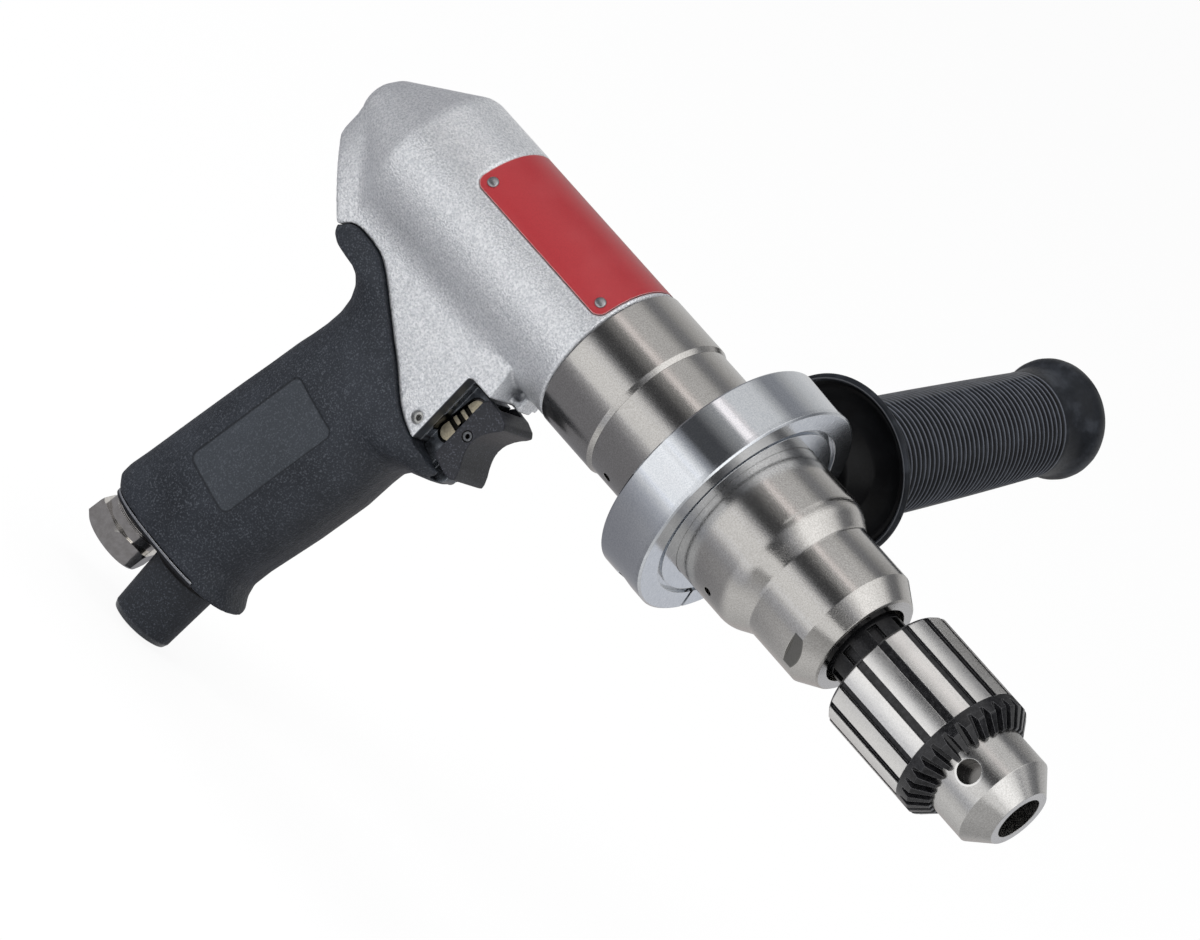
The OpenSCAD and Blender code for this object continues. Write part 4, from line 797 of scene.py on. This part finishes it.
def softened(node, voxel, rounds, shape=None, extra=()):
    """A finely remeshed and smoothed copy of a CAD node's mesh, grown together with extra closed skins.

    shape may move its points, in millimetres."""
    work = link("work", nodes[node].data.copy())
    if extra:
        grown = bmesh.new()
        grown.from_mesh(work.data)
        for verts, faces in extra:
            points = [grown.verts.new(tuple(c * MM for c in v)) for v in verts]
            for face in faces:
                grown.faces.new([points[i] for i in face])
        grown.to_mesh(work.data)
        grown.free()
    remesh = work.modifiers.new("remesh", "REMESH")
    remesh.mode = "VOXEL"
    remesh.voxel_size = voxel * MM
    smooth = work.modifiers.new("smooth", "SMOOTH")
    smooth.factor = 0.5
    smooth.iterations = rounds
    mesh = bpy.data.meshes.new_from_object(work.evaluated_get(bpy.context.evaluated_depsgraph_get()))
    bpy.data.objects.remove(work)
    if shape:
        points = np.empty(len(mesh.vertices) * 3)
        mesh.vertices.foreach_get("co", points)
        points = shape(points.reshape(-1, 3) / MM) * MM
        mesh.vertices.foreach_set("co", points.ravel())
        mesh.update()
    return mesh


def skin(rings):
    """Points and faces of a closed tube through rings of equal length, with both ends capped."""
    n = len(rings[0])
    last = (len(rings) - 1) * n
    verts = [v for ring in rings for v in ring]
    faces = []
    for start in range(0, last, n):
        for i in range(n):
            j = (i + 1) % n
            faces.append((start + i, start + j, start + n + j, start + n + i))
    faces.append(tuple(range(n))[::-1])
    faces.append(tuple(last + i for i in range(n)))
    return verts, faces


def sunk_badge(points):
    """Presses the badge panel into the near side of the grip."""
    lean = math.radians(BADGE_LEAN)
    dx, dz = points[:, 0] - BADGE_X, points[:, 2] - BADGE_Z
    u = np.abs(dz * math.cos(lean) + dx * math.sin(lean)) - BADGE_HALF_L + BADGE_ROUND
    v = np.abs(dx * math.cos(lean) - dz * math.sin(lean)) - BADGE_HALF_W + BADGE_ROUND
    outside = np.hypot(np.maximum(u, 0), np.maximum(v, 0))
    distance = outside + np.minimum(np.maximum(u, v), 0) - BADGE_ROUND
    sunk = points.copy()
    sunk[:, 1] += BADGE_DEPTH * np.clip(0.5 - distance / 0.5, 0, 1) * (points[:, 1] < GRIP_NEAR_Y)
    return sunk


def grip_cover():
    """The rubber grip with soft edges and its sunk badge panel."""
    mesh = softened("grip_sleeve", voxel=0.45, rounds=10, shape=sunk_badge)
    return finish_piece("grip_cover", mesh, rubber, "tool_body", ("grip_sleeve",))


def trigger_shell():
    """The trigger with soft edges."""
    mesh = softened("trigger", voxel=0.22, rounds=10)
    return finish_piece("trigger_shell", mesh, trigger_black, "trigger_group", ("trigger",))


def spring_coil():
    """The valve spring, on a mesh of its own."""
    mesh = nodes["valve_spring"].data.copy()
    coil = finish_piece("spring_coil", mesh, spring_steel, "tool_body", ("valve_spring",))
    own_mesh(coil)
    return coil


def barrel_radius(x):
    """Radius of the barrel, or of the cone behind it, at a station."""
    return BARREL_R if x > CONE_FRONT else BARREL_R - CONE_LIP - (CONE_START - x) * CONE_SLOPE


def flank_half_width(x):
    """Half width of the flank at a station; its rear end is rounded."""
    tail = min(max((FLANK_ROUND_X - x) / FLANK_ROUND_L, 0), 1)
    return FLANK_W * math.sqrt(1 - tail * tail)


def cast_fillet(side, stations=90, steps=14):
    """A closed skin for the soft valley between barrel and flank: a rolling ball's arc at each station."""
    rings = []
    for x in np.linspace(FILLET_FRONT, FILLET_REAR, stations):
        w = flank_half_width(x)
        ball = FILLET_BALL * min(1, FILLET_FIRST_SHARE + (FILLET_FRONT - x) / FILLET_GROW_L)
        ball += FILLET_TAIL_GROW * max(0, FILLET_TAIL_X - x)
        ball_y = w + ball
        ball_z = -math.sqrt((barrel_radius(x) + ball) ** 2 - ball_y ** 2)
        first = math.atan2(-ball_z, -ball_y)
        arc = [first + (math.pi - first) * i / steps for i in range(steps + 1)]
        ring = [(x, side * (ball_y + ball * math.cos(a)), ball_z + ball * math.sin(a)) for a in arc]
        ring.append((x, side * (w - FILLET_SINK), ball_z + 0.1 * ball))
        ring.append((x, side * (w - FILLET_SINK), ring[0][2] + 1.0))
        rings.append(ring if side < 0 else ring[::-1])
    return skin(rings)


def cast_housing():
    """The casting with soft edges and the valleys between barrel and flank."""
    valleys = [cast_fillet(-1), cast_fillet(1)]
    mesh = softened("pistol_housing", voxel=0.42, rounds=9, extra=valleys)
    return finish_piece("cast_housing", mesh, silver, "tool_body", ("pistol_housing",))


def dome(radius, height, steps=7, around=28):
    """Rings of a domed rivet head about +Z, from its foot up to the tiny ring that closes its top."""
    foot = -0.25
    edge = 0.08
    top_r = 0.08 * radius
    profile = [(radius, foot), (radius, edge)]
    for i in range(1, steps):
        a = math.pi / 2 * i / steps
        profile.append((radius * math.cos(a), edge + (height - edge) * math.sin(a)))
    profile.append((top_r, height))
    turns = [2 * math.pi * i / around for i in range(around)]
    return [[(r * math.cos(t), r * math.sin(t), z) for t in turns] for r, z in profile]


def rivet_heads():
    """Domed heads in the four corners of the label plate."""
    low, high = [corner[0] for corner in box_mm("label_rivets")]
    head, head_faces = skin(dome(RIVET_R, RIVET_H))
    verts, faces = [], []
    for x in (low + RIVET_EDGE, high - RIVET_EDGE):
        for side in (-1, 1):
            turn = Matrix.Rotation(math.radians(side * (PLATE_ANGLE / 2 - RIVET_TURN)), 3, "X")
            faces += [tuple(len(verts) + i for i in face) for face in head_faces]
            verts += [Vector((x, 0, 0)) + turn @ Vector((a, b, c + BARREL_R - 0.1)) for a, b, c in head]
    mesh = mesh_mm("rivet_heads", verts, faces)
    return finish_piece("rivet_heads", mesh, rivet_alloy, "tool_body", ("label_rivets",))


def flange_profile():
    """Radius and distance along the handle, from the hub over the dish and the rim to the back."""
    r = FLANGE_R
    hub = [(8.2, -8.4), (10.6, -8.4), (11.4, -7.6), (12.3, 0.9)]
    dish = [(13.2, 1.5), (17.0, 1.9), (20.2, 2.0)]
    groove = [(20.6, 1.55), (21.0, 2.0)]
    rim = [(r - 2.5, 1.8), (r - 1.7, 0.5), (r - 1.0, 0.05), (r - 0.4, 0.15), (r, 0.8), (r, 1.3)]
    back = [(r - 0.5, 2.1), (r - 1.7, 2.9)]
    neck = [(HANDLE_R + 3.2, 3.7), (HANDLE_R + 1.4, 4.5), (HANDLE_R + 0.4, 5.4)]
    return hub + dish + groove + rim + back + neck


def bulb_profile():
    """Radius and distance along the handle, from the last rib over the bulb to the end."""
    r = HANDLE_END_R
    profile = [(r, RIB_TO + 1.0), (r - 0.1, RIB_TO + 3.0), (r + 0.2, RIB_TO + 5.0)]
    for i in range(10):
        a = math.radians(-38 + 12.5 * i)
        profile.append((BULB_R + BULB_ROUND * (math.cos(a) - 1), HANDLE_L + BULB_ROUND * (math.sin(a) - 1)))
    return profile + [(6.0, HANDLE_L - 0.25), (1.0, HANDLE_L - 0.35)]


def ribbed_radius(s, turn):
    """Outer radius of the handle; its ribs fade at both ends and along two smooth mould lines."""
    ends = max(min(1.0, s - RIB_FROM + 0.02, (RIB_TO - s) / 3.0), 0.0)
    off_line = abs(math.degrees(math.asin(math.sin(turn - MOULD_TURN))))
    smooth_half = MOULD_HALF + 5.0 * math.sin(math.pi * s / RIB_TO)
    reach = min(max((off_line - smooth_half) / 12.0, 0.0), 1.0)
    body = HANDLE_R - (HANDLE_R - HANDLE_END_R) * (s / RIB_TO) ** 1.7
    wave = 0.5 - 0.5 * math.cos(2 * math.pi * (s - RIB_FROM) / RIB_PITCH)
    groove = RIB_DEPTH * (1 - wave) ** 0.8 * ends * reach * reach * (3 - 2 * reach)
    return body - groove - MOULD_SINK * (1 - reach)


def handle_cover(around=144, steps_per_rib=10):
    """The rubber handle: dished flange, ribs between two smooth mould lines, and a bulb at the end."""
    turns = [2 * math.pi * i / around for i in range(around)]
    ribs = np.linspace(RIB_FROM, RIB_TO, int((RIB_TO - RIB_FROM) / RIB_PITCH * steps_per_rib) + 1)
    rows = [[(r, t, s) for t in turns] for r, s in flange_profile()]
    rows += [[(ribbed_radius(s, t), t, s) for t in turns] for s in ribs]
    rows += [[(r, t, s) for t in turns] for r, s in bulb_profile()]
    swing = math.radians(HANDLE_TURN)
    axis = Vector((0, math.cos(swing), math.sin(swing)))
    beside = Vector((0, -math.sin(swing), math.cos(swing)))

    def place(r, t, s):
        """A point at radius r, turn t and distance s along the handle."""
        centre = Vector((RING_MID, 0, 0)) + axis * (FLANGE_AT + s)
        return centre + Vector((1, 0, 0)) * (r * math.cos(t)) + beside * (r * math.sin(t))

    verts, faces = skin([[place(*point) for point in row] for row in rows])
    mesh = mesh_mm("handle_cover", verts, faces)
    return finish_piece("handle_cover", mesh, ribbed_rubber, "side_handle", ("handle_grip",))


grip_cover()
trigger_shell()
spring_coil()
cast_housing()
rivet_heads()
handle_cover()

# The camera, as fitted to the photo
CAMERA_AZIMUTH = math.radians(22.92)
CAMERA_ELEVATION = math.radians(11.70)
CAMERA_ROLL = math.radians(43.78)
CAMERA_DISTANCE = 1910.0
CAMERA_TARGET = Vector((-144.9, 0.0, -21.2))
CAMERA_LENS = 226.12
CAMERA_CLIP = (100, 40000)
SENSOR_W = 36.0


def add_camera():
    """A long lens far away, turned about its own axis so that the tool lies aslant."""
    camera = link("camera", bpy.data.cameras.new("camera"))
    camera.data.sensor_width = SENSOR_W
    camera.data.lens = CAMERA_LENS
    camera.data.clip_start, camera.data.clip_end = (end * MM for end in CAMERA_CLIP)
    level = Vector((math.cos(CAMERA_AZIMUTH), math.sin(CAMERA_AZIMUTH), 0.0))
    inward = Vector((-math.sin(CAMERA_AZIMUTH), math.cos(CAMERA_AZIMUTH), 0.0))
    ahead = inward * math.cos(CAMERA_ELEVATION) - Vector((0, 0, math.sin(CAMERA_ELEVATION)))
    right = level * math.cos(CAMERA_ROLL) + level.cross(ahead) * math.sin(CAMERA_ROLL)
    turned = Matrix((right, right.cross(ahead), -ahead)).transposed()
    place = Matrix.Translation((CAMERA_TARGET - ahead * CAMERA_DISTANCE) * MM)
    camera.matrix_world = place @ turned.to_4x4()
    scene.camera = camera


# Floor, world, cards and lamps
FLOOR_Z = box_mm("inlet_bushing")[0][2] - 9.0
FLOOR_HALF = 6000
CARDS_R = 1300
CARDS_LIFT = 3.0
CARDS_GAP = (182, 208)
STUDIO_TOP = 1.7
NEUTRAL = (1.0, 1.0, 1.0)
COOL = (0.96, 0.98, 1.04)
WARM = (1.04, 0.98, 0.97)
# Angle from +Y over +Z, brightness and tint of the cards, all round the tool's long axis. Turned
# surfaces mirror the cards behind them, chamfers the ones beside them and steep cones the ones
# ahead: pale walls, black flags and strip boxes in each. The cards leave a gap towards the camera,
# where mirrors see the white floor and background.
BEHIND = [
    (0, 0.62, NEUTRAL), (22, 0.66, NEUTRAL), (42, 0.56, NEUTRAL), (54, 0.42, NEUTRAL),
    (65, 0.28, COOL), (77, 0.26, COOL), (86, 0.50, NEUTRAL), (92, 0.66, NEUTRAL), (116, 0.70, NEUTRAL),
    (120, 0.75, WARM), (122, 1.15, WARM), (127, 1.15, WARM), (130, 0.36, NEUTRAL),
    (138, 0.24, NEUTRAL), (148, 0.07, COOL), (162, 0.07, COOL), (168, 0.35, COOL),
    (175, 0.95, NEUTRAL), (186, 1.25, COOL), (206, 1.25, COOL), (214, 0.95, NEUTRAL),
    (221, 0.65, COOL), (232, 0.55, COOL), (242, 0.68, NEUTRAL), (256, 0.80, NEUTRAL),
    (275, 0.74, NEUTRAL), (300, 0.60, NEUTRAL), (325, 0.50, WARM), (345, 0.50, NEUTRAL),
    (360, 0.62, NEUTRAL),
]
BESIDE = [
    (0, 0.66, NEUTRAL), (31, 0.58, NEUTRAL), (44, 0.18, COOL), (62, 0.26, COOL), (76, 1.05, NEUTRAL),
    (100, 1.35, NEUTRAL), (124, 1.45, NEUTRAL), (134, 0.90, NEUTRAL), (146, 0.40, COOL),
    (160, 0.12, COOL), (182, 0.10, COOL), (198, 0.26, NEUTRAL), (220, 0.46, NEUTRAL),
    (250, 0.58, NEUTRAL), (272, 0.48, NEUTRAL), (300, 0.42, NEUTRAL), (330, 0.58, NEUTRAL),
    (345, 0.70, COOL), (360, 0.66, NEUTRAL),
]
AHEAD = [
    (0, 0.12, COOL), (40, 0.06, COOL), (60, 0.14, COOL), (88, 0.34, COOL), (98, 1.15, NEUTRAL),
    (130, 1.50, NEUTRAL), (166, 1.45, NEUTRAL), (180, 0.80, NEUTRAL), (194, 0.48, NEUTRAL),
    (240, 0.52, NEUTRAL), (270, 0.42, NEUTRAL), (300, 0.28, NEUTRAL), (330, 0.22, COOL),
    (360, 0.12, COOL),
]
# Where one ring of cards gives way to the next, as the cosine from +X, and how softly
BESIDE_FROM = (0.02, 0.17)
AHEAD_FROM = (0.69, 0.09)
# The dim wall behind the tool, and the height that it starts at
DIM_WALL_TO = (-0.66, 0.12)
DIM_WALL_Z = (-250, 80)
# Two small cards out in the studio, abreast of the barrel's front edge
SMALL_CARDS_X = (-196, -151)
SMALL_CARDS_R = 400


def floor_material():
    """Pale floor that the camera sees as nearly white, with the object's soft shadow left in."""
    m = Mat("floor")
    rays = m.new("ShaderNodeLightPath").outputs
    white_share = 0.92
    seen = m.most(rays["Is Camera Ray"], rays["Is Glossy Ray"], rays["Is Transmission Ray"])
    m.set(Base_Color=m.mix(m.noise(4.0), (0.86, 0.86, 0.86), (0.90, 0.90, 0.90)), Roughness=0.85)
    glow = m.new("ShaderNodeEmission")
    glow.inputs[1].default_value = 1.0
    blend = m.new("ShaderNodeMixShader")
    m.put(blend.inputs[0], m.mul(seen, white_share))
    m.put(blend.inputs[1], m.shader.outputs[0])
    m.put(blend.inputs[2], glow.outputs[0])
    m.put(m.tree.nodes["Material Output"].inputs[0], blend.outputs[0])
    return m


def add_floor():
    """One wide square under the tool."""
    signs = ((-1, -1), (1, -1), (1, 1), (-1, 1))
    corners = [(FLOOR_HALF * sx, FLOOR_HALF * sy, FLOOR_Z) for sx, sy in signs]
    floor = link("floor", mesh_mm("floor", corners, [(0, 1, 2, 3)]))
    floor.data.materials.append(floor_material().material)


def add_world():
    """White behind the object, for the camera and for mirrors; its light on the object is a plain grey."""
    world = bpy.data.worlds.new("studio")
    scene.world = world
    world.use_nodes = True
    tree = world.node_tree
    tree.nodes.clear()
    rays = tree.nodes.new("ShaderNodeLightPath").outputs
    seen = rays["Is Camera Ray"]
    for other in ("Is Glossy Ray", "Is Transmission Ray"):
        most = tree.nodes.new("ShaderNodeMath")
        most.operation = "MAXIMUM"
        tree.links.new(seen, most.inputs[0])
        tree.links.new(rays[other], most.inputs[1])
        seen = most.outputs[0]
    light = tree.nodes.new("ShaderNodeBackground")
    light.inputs[0].default_value = (0.62, 0.62, 0.63, 1)
    white = tree.nodes.new("ShaderNodeBackground")
    white.inputs[0].default_value = (1, 1, 1, 1)
    blend = tree.nodes.new("ShaderNodeMixShader")
    tree.links.new(seen, blend.inputs[0])
    tree.links.new(light.outputs[0], blend.inputs[1])
    tree.links.new(white.outputs[0], blend.inputs[2])
    tree.links.new(blend.outputs[0], tree.nodes.new("ShaderNodeOutputWorld").inputs[0])


def glowing(m, colour, strength):
    """Makes a material shine by itself and mirror nothing."""
    m.set(Base_Color=(0.0, 0.0, 0.0), Specular_IOR_Level=0.0)
    m.set(Emission_Color=colour, Emission_Strength=strength)
    return m


def cards_material():
    """Glowing cards; the ring of stops is chosen by how far ahead of the tool a point lies."""
    m = Mat("studio_cards")
    x, z = m.axes()[::2]
    share = m.math("FRACT", m.add(m.mul(m.turn(), 1 / (2 * math.pi)), 1.0))
    ahead = m.math("DIVIDE", x, m.length(x, m.radius()))

    def ring(stops):
        ramp = m.new("ShaderNodeValToRGB")
        m.put(ramp.inputs[0], share)
        elements = ramp.color_ramp.elements
        while len(elements) < len(stops):
            elements.new(0.5)
        for element, (degrees, brightness, tint) in zip(elements, stops):
            element.position = degrees / 360
            element.color = (*(brightness * c / STUDIO_TOP for c in tint), 1)
        return ramp.outputs[0]

    glow = m.mix(m.above(ahead, *BESIDE_FROM), ring(BEHIND), ring(BESIDE))
    glow = m.mix(m.above(ahead, *AHEAD_FROM), glow, ring(AHEAD))
    dim_wall = m.mul(m.below(ahead, *DIM_WALL_TO), m.above(z, *DIM_WALL_Z))
    glow = m.mix(dim_wall, glow, (0.14, 0.14, 0.15))
    return glowing(m, glow, STUDIO_TOP)


def add_card(name, verts, faces, mat):
    """A piece of the studio that only mirrors see."""
    thing = link(name, mesh_mm(name, verts, faces))
    thing.data.materials.append(mat.material)
    thing.visible_camera = False
    thing.visible_diffuse = False
    thing.visible_shadow = False
    thing.visible_transmission = False


def add_cards(across=36, around=90):
    """The studio's cards: a wide shell round the tool, cut off just over the floor and at its gap."""
    low = FLOOR_Z + CARDS_LIFT
    verts, faces = [], []
    for i in range(across + 1):
        polar = math.pi * i / across
        for j in range(around):
            turn = 2 * math.pi * j / around
            y, z = math.sin(polar) * math.cos(turn), math.sin(polar) * math.sin(turn)
            reach = min(CARDS_R, low / z) if z < 0 else CARDS_R
            verts.append((math.cos(polar) * reach, y * reach, z * reach))
    for i in range(across):
        for j in range(around):
            if not CARDS_GAP[0] <= (j + 0.5) * 360 / around <= CARDS_GAP[1]:
                k = (j + 1) % around
                row = i * around
                faces.append((row + j, row + k, row + around + k, row + around + j))
    add_card("studio_cards", verts, faces, cards_material())


def small_card(name, first, last, brightness, steps=12):
    """A curved card between two angles above +Y."""
    verts = []
    for x in SMALL_CARDS_X:
        for i in range(steps + 1):
            turn = math.radians(first + (last - first) * i / steps)
            verts.append((x, SMALL_CARDS_R * math.cos(turn), SMALL_CARDS_R * math.sin(turn)))
    faces = [(i, i + 1, steps + 2 + i, steps + 1 + i) for i in range(steps)]
    add_card(name, verts, faces, glowing(Mat(name), (1.0, 1.0, 1.0), brightness))


def lamp(name, where, size, power):
    """A round lamp that shines on the tool and that mirrors don't show."""
    data = bpy.data.lights.new(name, "AREA")
    data.shape = "DISK"
    data.size = size * MM
    data.energy = power
    thing = link(name, data)
    thing.location = Vector(where) * MM
    thing.rotation_mode = "QUATERNION"
    thing.rotation_quaternion = ((CAMERA_TARGET - Vector(where)) * MM).to_track_quat("-Z", "Y")
    thing.visible_glossy = False
    thing.visible_camera = False


add_camera()
add_floor()
add_world()
add_cards()
small_card("black_card", -8, 75, brightness=0.03)
small_card("white_card", 84, 141, brightness=0.95)
lamp("key", (-900, -1600, 750), size=1000, power=26)
lamp("top", (-300, 100, 1800), size=1200, power=14)
lamp("fill", (1200, -1400, 300), size=1000, power=9)

scene.view_settings.view_transform = "Standard"
